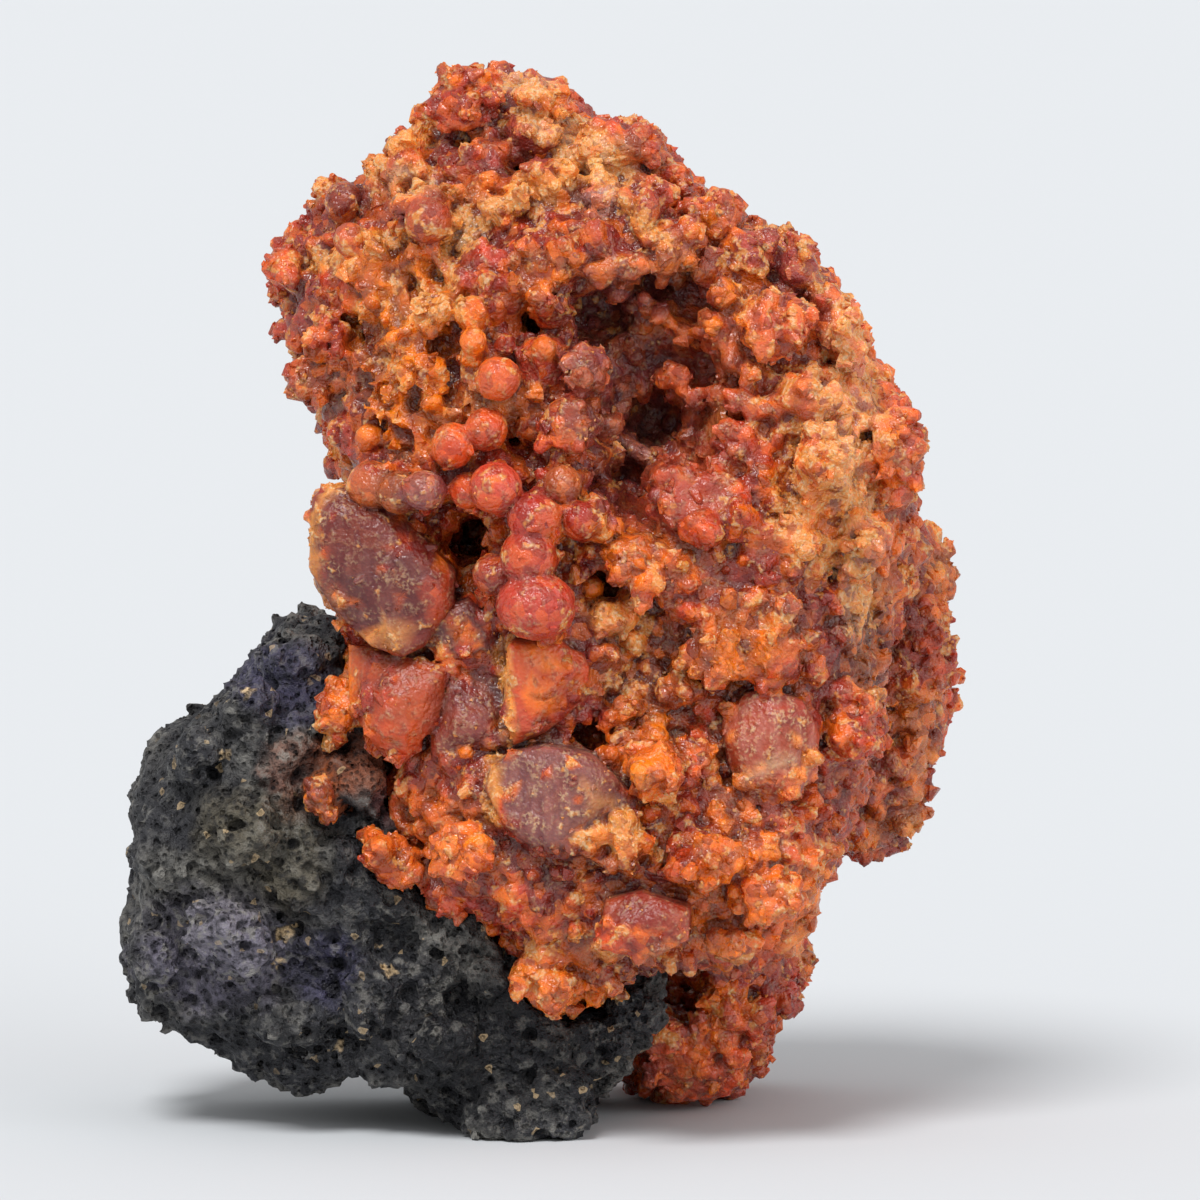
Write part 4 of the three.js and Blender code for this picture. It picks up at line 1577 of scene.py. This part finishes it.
def small_cluster() -> ZinciteMass:
    """Describes the small brown cluster that sits apart on the slag.

    Returns:
        Its plan.
    """
    return ZinciteMass(
        "zincite_patch",
        voxel=0.12,
        inset=0.15,
        growths=(
            Growth(Form.BEAD, 1.1, 0.50, 301, sunk=0.70),
            Growth(Form.BLOCK, 0.7, 0.32, 302, sunk=0.50, tilt=0.9),
        ),
        overgrowths=(Growth(Form.BEAD, 0.5, 0.16, 303, sunk=0.40, share=0.6),),
        vug=None,
        lace=None,
        pits=(),
        large=(),
        beads=(),
        details=(),
        patches=(Oval(322, 790, 60, 60, Tint.BROWN, 0.8), Oval(345, 750, 20, 20, Tint.MAUVE, 0.5)),
    )


def growth_box(frame: dict, node: str) -> tuple[np.ndarray, np.ndarray]:
    """Gives the box that growth stays in.

    Args:
        frame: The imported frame.
        node: The node that is grown on.

    Returns:
        The low and the high corner, in millimetres, with the floor as the lowest level.
    """
    low, high = (np.array(corner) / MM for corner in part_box(node))
    margin = np.maximum(SIDE_MARGIN * (high - low), LEAST_MARGIN)
    low, high = low - margin, high + margin
    low[2] = max(low[2], 0.0)
    return low, high


@dataclass
class Slag:
    """The dark porous matrix."""

    node: str = "matrix"
    voxel: float = 0.23
    inset: float = 0.32
    finish: SlagFinish = field(default_factory=SlagFinish)
    front_depth: float = 8.0
    crisp_angle: float = 38.0
    growths: tuple[Growth, ...] = (
        Growth(Form.BEAD, 3.2, 1.8, 111, sunk=0.80, smallest=0.6),
        Growth(Form.BLOCK, 2.0, 0.85, 112, sunk=0.68, tilt=0.8),
        Growth(Form.BEAD, 2.6, 0.70, 113, sunk=0.0, smallest=0.4, share=0.5, cut=True),
        Growth(Form.BLOCK, 1.2, 0.48, 114, sunk=0.62, tilt=0.9),
        Growth(Form.BEAD, 1.0, 0.40, 115, sunk=0.10, smallest=0.4, share=0.9, cut=True),
    )
    patches: tuple[Oval, ...] = (
        Oval(285, 680, 50, 42, Tint.VIOLET, 0.7),
        Oval(240, 730, 40, 36, Tint.CHARCOAL, 0.6),
        Oval(170, 800, 46, 60, Tint.CHARCOAL, 0.7),
        Oval(265, 850, 70, 64, Tint.OLIVE, 0.40),
        Oval(200, 900, 60, 50, Tint.ASH, 0.55),
        Oval(215, 950, 76, 62, Tint.LAVENDER, 0.65),
        Oval(320, 965, 42, 36, Tint.VIOLET, 0.55),
        Oval(300, 770, 40, 40, Tint.BROWN, 0.35),
        Oval(355, 760, 50, 30, Tint.BROWN, 0.6),
        Oval(395, 800, 26, 26, Tint.MAUVE, 0.35),
        # Painted shade: the underside of the slag is laid in charcoal and near black.
        Oval(400, 1040, 70, 40, Tint.CHARCOAL, 0.7),
        Oval(500, 1050, 100, 80, Tint.BLACK_AND_SHADE, 0.85),
        # Darker under the zincite's lower edge.
        Oval(400, 870, 40, 60, Tint.BLACK_AND_SHADE, 0.7),
    )
    beads: tuple[Bead, ...] = (
        Bead(289, 932, 9, Tint.PALE),
        Bead(279, 957, 6, Tint.PALE),
        Bead(390, 970, 5, Tint.PALE),
        Bead(340, 1045, 5, Tint.PALE),
        Bead(250, 692, 5, Tint.PALE),
        Bead(230, 753, 5, Tint.PALE),
        Bead(205, 860, 5, Tint.ASH),
        Bead(330, 790, 26, Tint.BROWN, 0.3),
        Bead(392, 795, 24, Tint.BROWN, 0.3),
    )

    def build(self, frame: dict) -> bpy.types.Object:
        """Builds the slag with its pores.

        Args:
            frame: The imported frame.

        Returns:
            The finished piece.
        """
        packed = Stone.of_node(frame["nodes"][self.node], self.voxel)
        stone = packed.blurred(2)
        stone.values += self.inset
        stone.roughen(5.0, 0.35, 131)
        for growth in self.growths:
            stone.grow(growth, lambda points: np.ones(len(points)))
        placed = [(bead, bead.placed(stone)) for bead in self.beads]
        special = {stone.stamp(place[0], place[1], place[3]): bead for bead, place in placed if place}
        stone.roughen(0.9, 0.06, 141)
        stone.keep_within(*growth_box(frame, self.node))
        return self._dressed(stone, special)

    def _dressed(self, stone: Stone, special: dict[int, Bead]) -> bpy.types.Object:
        """Makes the mesh and gives it its colours.

        Args:
            stone: The grown slag.
            special: The beads by growth number.

        Returns:
            The finished piece.
        """
        broad = stone.blurred(BROAD_ROUNDS, BROAD_FACTOR)
        piece = stone.mesh("slag")
        points = read(piece.data.vertices, "co") / MM
        crest = broad.sample(points)
        owner = stone.owner_of(points + OWNER_STEP * read(piece.data.vertex_normals, "vector"))
        own = np.random.default_rng(88).random(int(owner.max()) + 1).astype(np.float32)[owner]
        share = 0.10 + 0.45 * layered_noise(points, 3.0, 151) + 0.4 * crest
        colour = two_tints(Tint.CHARCOAL, Tint.ASH, share)
        front = front_share(points, self.front_depth)
        colour = painted(points, colour, self.patches, front)
        colour = colour * (0.75 + 0.5 * own)[:, None]
        # Painted shade: hollows are darkened towards near black.
        colour = lerp(colour, Tint.BLACK_AND_SHADE, 0.85 * hollow_shade_share(crest))
        for number, bead in special.items():
            colour = lerp(colour, bead.tint, 0.8 * (owner == number) * (number > 0))
        store_colour(piece, "tint", colour)
        # Pale ash on crests and in the ash and lavender ovals, partly painted highlight.
        dust_and_highlight = 0.25 + crest + 0.6 * noise(points, 5.0, 161)
        for patch in self.patches:
            if patch.tint in (Tint.ASH, Tint.LAVENDER):
                dust_and_highlight = dust_and_highlight + 0.5 * patch.weight(points) * front
        store_value(piece, "dust_and_highlight", dust_and_highlight)
        above = above_foot(points)
        store_value(piece, "druse", above * np.clip(0.35 + 0.9 * crest, 0, 1))
        finish_piece(piece, self.finish.material(), self.crisp_angle)
        return piece


@dataclass
class Scatter:
    """Small crystals set on a finished piece by geometry nodes."""

    name: str
    per_square_mm: float
    radius: float
    height: float
    sides: int
    seed: int
    sunk: float = 0.35
    tilt: float = 0.5
    mask: str = "druse"
    top: float = 0.0
    smallest: float = 0.45
    largest: float = 1.2

    def build(self, ground: bpy.types.Object, material: bpy.types.Material) -> bpy.types.Object:
        """Sets the crystals.

        Args:
            ground: The piece that they stand on.
            material: Their material.

        Returns:
            The crystals as one plain mesh.
        """
        copy = bpy.data.objects.new(self.name, ground.data.copy())
        bpy.context.scene.collection.objects.link(copy)
        tree, identifiers = self._tree(material)
        modifier = copy.modifiers.new("crystals", "NODES")
        modifier.node_group = tree
        values = {
            "Density": self.per_square_mm / MM**2,
            "Radius": self.radius * MM,
            "Height": self.height * MM,
            "Tilt": self.tilt,
            "Seed": self.seed,
        }
        for key, value in values.items():
            modifier[identifiers[key]] = value
        return baked(copy)

    def _tree(self, material: bpy.types.Material) -> tuple[bpy.types.NodeTree, dict[str, str]]:
        """Builds the node tree.

        Args:
            material: The crystals' material.

        Returns:
            The tree and its inputs' identifiers by name.
        """
        tree = bpy.data.node_groups.new(self.name + "_nodes", "GeometryNodeTree")
        face = tree.interface
        face.new_socket("Geometry", in_out="INPUT", socket_type="NodeSocketGeometry")
        kinds = {"Density": "Float", "Radius": "Float", "Height": "Float", "Tilt": "Float", "Seed": "Int"}
        identifiers = {
            key: face.new_socket(key, in_out="INPUT", socket_type="NodeSocket" + kind).identifier
            for key, kind in kinds.items()
        }
        face.new_socket("Geometry", in_out="OUTPUT", socket_type="NodeSocketGeometry")
        add = partial(add_node, tree)
        given = add("NodeGroupInput", {}, {}).outputs
        free = add("GeometryNodeInputNamedAttribute", {"data_type": "FLOAT"}, {"Name": self.mask})
        maths = {"operation": "MULTIPLY"}
        density = add("ShaderNodeMath", maths, {0: given["Density"], 1: free.outputs["Attribute"]})
        spread = {"Mesh": given["Geometry"], "Density": density.outputs[0], "Seed": given["Seed"]}
        points = add("GeometryNodeDistributePointsOnFaces", {"distribute_method": "RANDOM"}, spread)
        size = {"Vertices": self.sides, "Radius Bottom": given["Radius"], "Depth": given["Height"]}
        size["Radius Top"] = self.top * self.radius * MM
        cone = add("GeometryNodeMeshCone", {"fill_type": "NGON"}, size)
        drop = add("ShaderNodeMath", maths, {0: given["Height"], 1: -self.sunk})
        shift = add("ShaderNodeCombineXYZ", {}, {"Z": drop.outputs[0]})
        moved = {"Geometry": cone.outputs["Mesh"], "Translation": shift.outputs[0]}
        low = add("GeometryNodeTransform", {}, moved)
        lean = add("ShaderNodeCombineXYZ", {}, {"X": given["Tilt"], "Y": given["Tilt"], "Z": math.pi})
        back = add("ShaderNodeVectorMath", {"operation": "SCALE"}, {0: lean.outputs[0], "Scale": -1.0})
        seed = add("ShaderNodeMath", {"operation": "ADD"}, {0: given["Seed"], 1: 1.0})
        turns = {0: back.outputs[0], 1: lean.outputs[0], "Seed": seed.outputs[0]}
        turn = add("FunctionNodeRandomValue", {"data_type": "FLOAT_VECTOR"}, turns)
        settings = {"rotation_space": "LOCAL"}
        both = {"Rotation": points.outputs["Rotation"], "Rotate By": turn.outputs["Value"]}
        rotation = add("FunctionNodeRotateRotation", settings, both)
        sizes = {2: self.smallest, 3: self.largest, "Seed": given["Seed"]}
        ratio = add("FunctionNodeRandomValue", {"data_type": "FLOAT"}, sizes)
        copies = {
            "Points": points.outputs["Points"],
            "Instance": low.outputs["Geometry"],
            "Rotation": rotation.outputs["Rotation"],
            "Scale": ratio.outputs[1],
        }
        placed = add("GeometryNodeInstanceOnPoints", {}, copies)
        real = add("GeometryNodeRealizeInstances", {}, {"Geometry": placed.outputs["Instances"]})
        given_finish = {"Geometry": real.outputs["Geometry"], "Material": material}
        dressed = add("GeometryNodeSetMaterial", {}, given_finish)
        out = add("NodeGroupOutput", {}, {})
        tree.links.new(dressed.outputs["Geometry"], out.inputs["Geometry"])
        return tree, identifiers


@dataclass(frozen=True)
class Lamp:
    """A wide, distant lamp: where it is, how many degrees wide it looks, and its strength."""

    name: str
    towards: tuple[float, float, float]
    width: float
    strength: float

    def build(self) -> None:
        """Adds the lamp."""
        data = bpy.data.lights.new(self.name, "SUN")
        data.angle = math.radians(self.width)
        data.energy = self.strength
        lamp = bpy.data.objects.new(self.name, data)
        lamp.rotation_euler = (-Vector(self.towards)).to_track_quat("-Z", "Y").to_euler()
        bpy.context.scene.collection.objects.link(lamp)


@dataclass
class Studio:
    """The camera, the soft light and the pale floor."""

    middle_across: float = 600.0
    middle_height: float = 0.03287
    distance: float = 1.0
    lens: float = 480.0
    floor_half: float = 5.0
    surround: float = 0.62
    lamps: tuple[Lamp, ...] = (
        Lamp("key", (-0.28, -0.65, 1.0), 22.0, 2.3),
        Lamp("fill", (0.85, -0.8, 0.40), 50.0, 0.85),
    )
    floor_tint: tuple[float, float, float] = (0.627, 0.647, 0.670)

    def build(self) -> None:
        """Sets up everything round the specimen."""
        scene = bpy.context.scene
        scene.view_settings.view_transform = "Standard"
        self._camera(scene)
        self._surroundings(scene)
        self._floor()
        for lamp in self.lamps:
            lamp.build()

    def _camera(self, scene: bpy.types.Scene) -> None:
        """Adds the camera at the picture's angle.

        Args:
            scene: Where it is added.
        """
        data = bpy.data.cameras.new("camera")
        data.lens = self.lens
        data.sensor_width = 36.0
        data.clip_start = 0.01
        data.clip_end = 50.0
        camera = bpy.data.objects.new("camera", data)
        tilt = PLANE.look_down
        side = (self.middle_across - PLANE.origin_across) / PLANE.steps_per_mm * MM
        middle = Vector((side, 0.0, self.middle_height))
        camera.location = middle + self.distance * Vector((0.0, -math.cos(tilt), math.sin(tilt)))
        camera.rotation_euler = (math.pi / 2 - tilt, 0.0, 0.0)
        scene.collection.objects.link(camera)
        scene.camera = camera

    def _surroundings(self, scene: bpy.types.Scene) -> None:
        """Makes the pale surroundings.

        Args:
            scene: Where they are made.
        """
        world = bpy.data.worlds.new("pale")
        world.use_nodes = True
        back = world.node_tree.nodes["Background"]
        back.inputs["Color"].default_value = (1.0, 1.0, 1.0, 1.0)
        back.inputs["Strength"].default_value = self.surround
        scene.world = world

    def _floor(self) -> None:
        """Lays the floor."""
        half = self.floor_half
        mesh = bpy.data.meshes.new("floor")
        corners = [(-half, -half, 0), (half, -half, 0), (half, half, 0), (-half, half, 0)]
        mesh.from_pydata(corners, [], [(0, 1, 2, 3)])
        graph = Graph("floor")
        inputs = {"Base Color": (*self.floor_tint, 1.0), "Roughness": 1.0, "Specular IOR Level": 0.0}
        mesh.materials.append(graph.finish(graph.node("ShaderNodeBsdfPrincipled", {}, inputs)))
        floor = bpy.data.objects.new("floor", mesh)
        bpy.context.scene.collection.objects.link(floor)


def keep(piece: bpy.types.Object, slot: str, *nodes: str) -> None:
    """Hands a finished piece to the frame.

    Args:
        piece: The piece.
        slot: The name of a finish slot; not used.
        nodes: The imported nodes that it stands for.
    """
    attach(piece, BODY)
    if nodes:
        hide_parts(*nodes)
    piece.data.calc_loop_triangles()
    LOG.info("%s: %d triangles", piece.name, len(piece.data.loop_triangles))


def main() -> None:
    """Builds the specimen piece by piece."""
    logging.basicConfig(level=logging.INFO, format="%(message)s")
    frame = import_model()
    Studio().build()
    slag = Slag().build(frame)
    keep(slag, "slag", "matrix")
    mass = ZinciteMass("zincite_mass").build(frame)
    keep(mass, "zincite", "zincite_mass")
    patch = small_cluster().build(frame)
    keep(patch, "zincite_brown", "zincite_patch")
    zincite = mass.data.materials[0]
    tiny = ZinciteFinish("zincite_points", glow=0.0).material()
    crumbly = ZinciteFinish("zincite_crumbs", glow=0.0, bleach=0.5).material()
    stout = Scatter("zincite_stout", 0.42, 0.55, 0.85, 6, 231, sunk=0.60, tilt=0.8, top=0.25)
    keep(stout.build(mass, zincite), "zincite")
    points = Scatter("zincite_points", 1.1, 0.22, 0.36, 6, 201, tilt=0.8).build(mass, tiny)
    keep(points, "zincite")
    crumbs = Scatter("zincite_crumbs", 1.5, 0.14, 0.18, 4, 221, tilt=1.2, mask="crumb").build(mass, crumbly)
    keep(crumbs, "zincite")
    grains = Scatter("slag_grains", 1.0, 0.18, 0.20, 4, 211, tilt=1.2).build(slag, slag.data.materials[0])
    keep(grains, "slag")


if __name__ == "__main__":
    main()
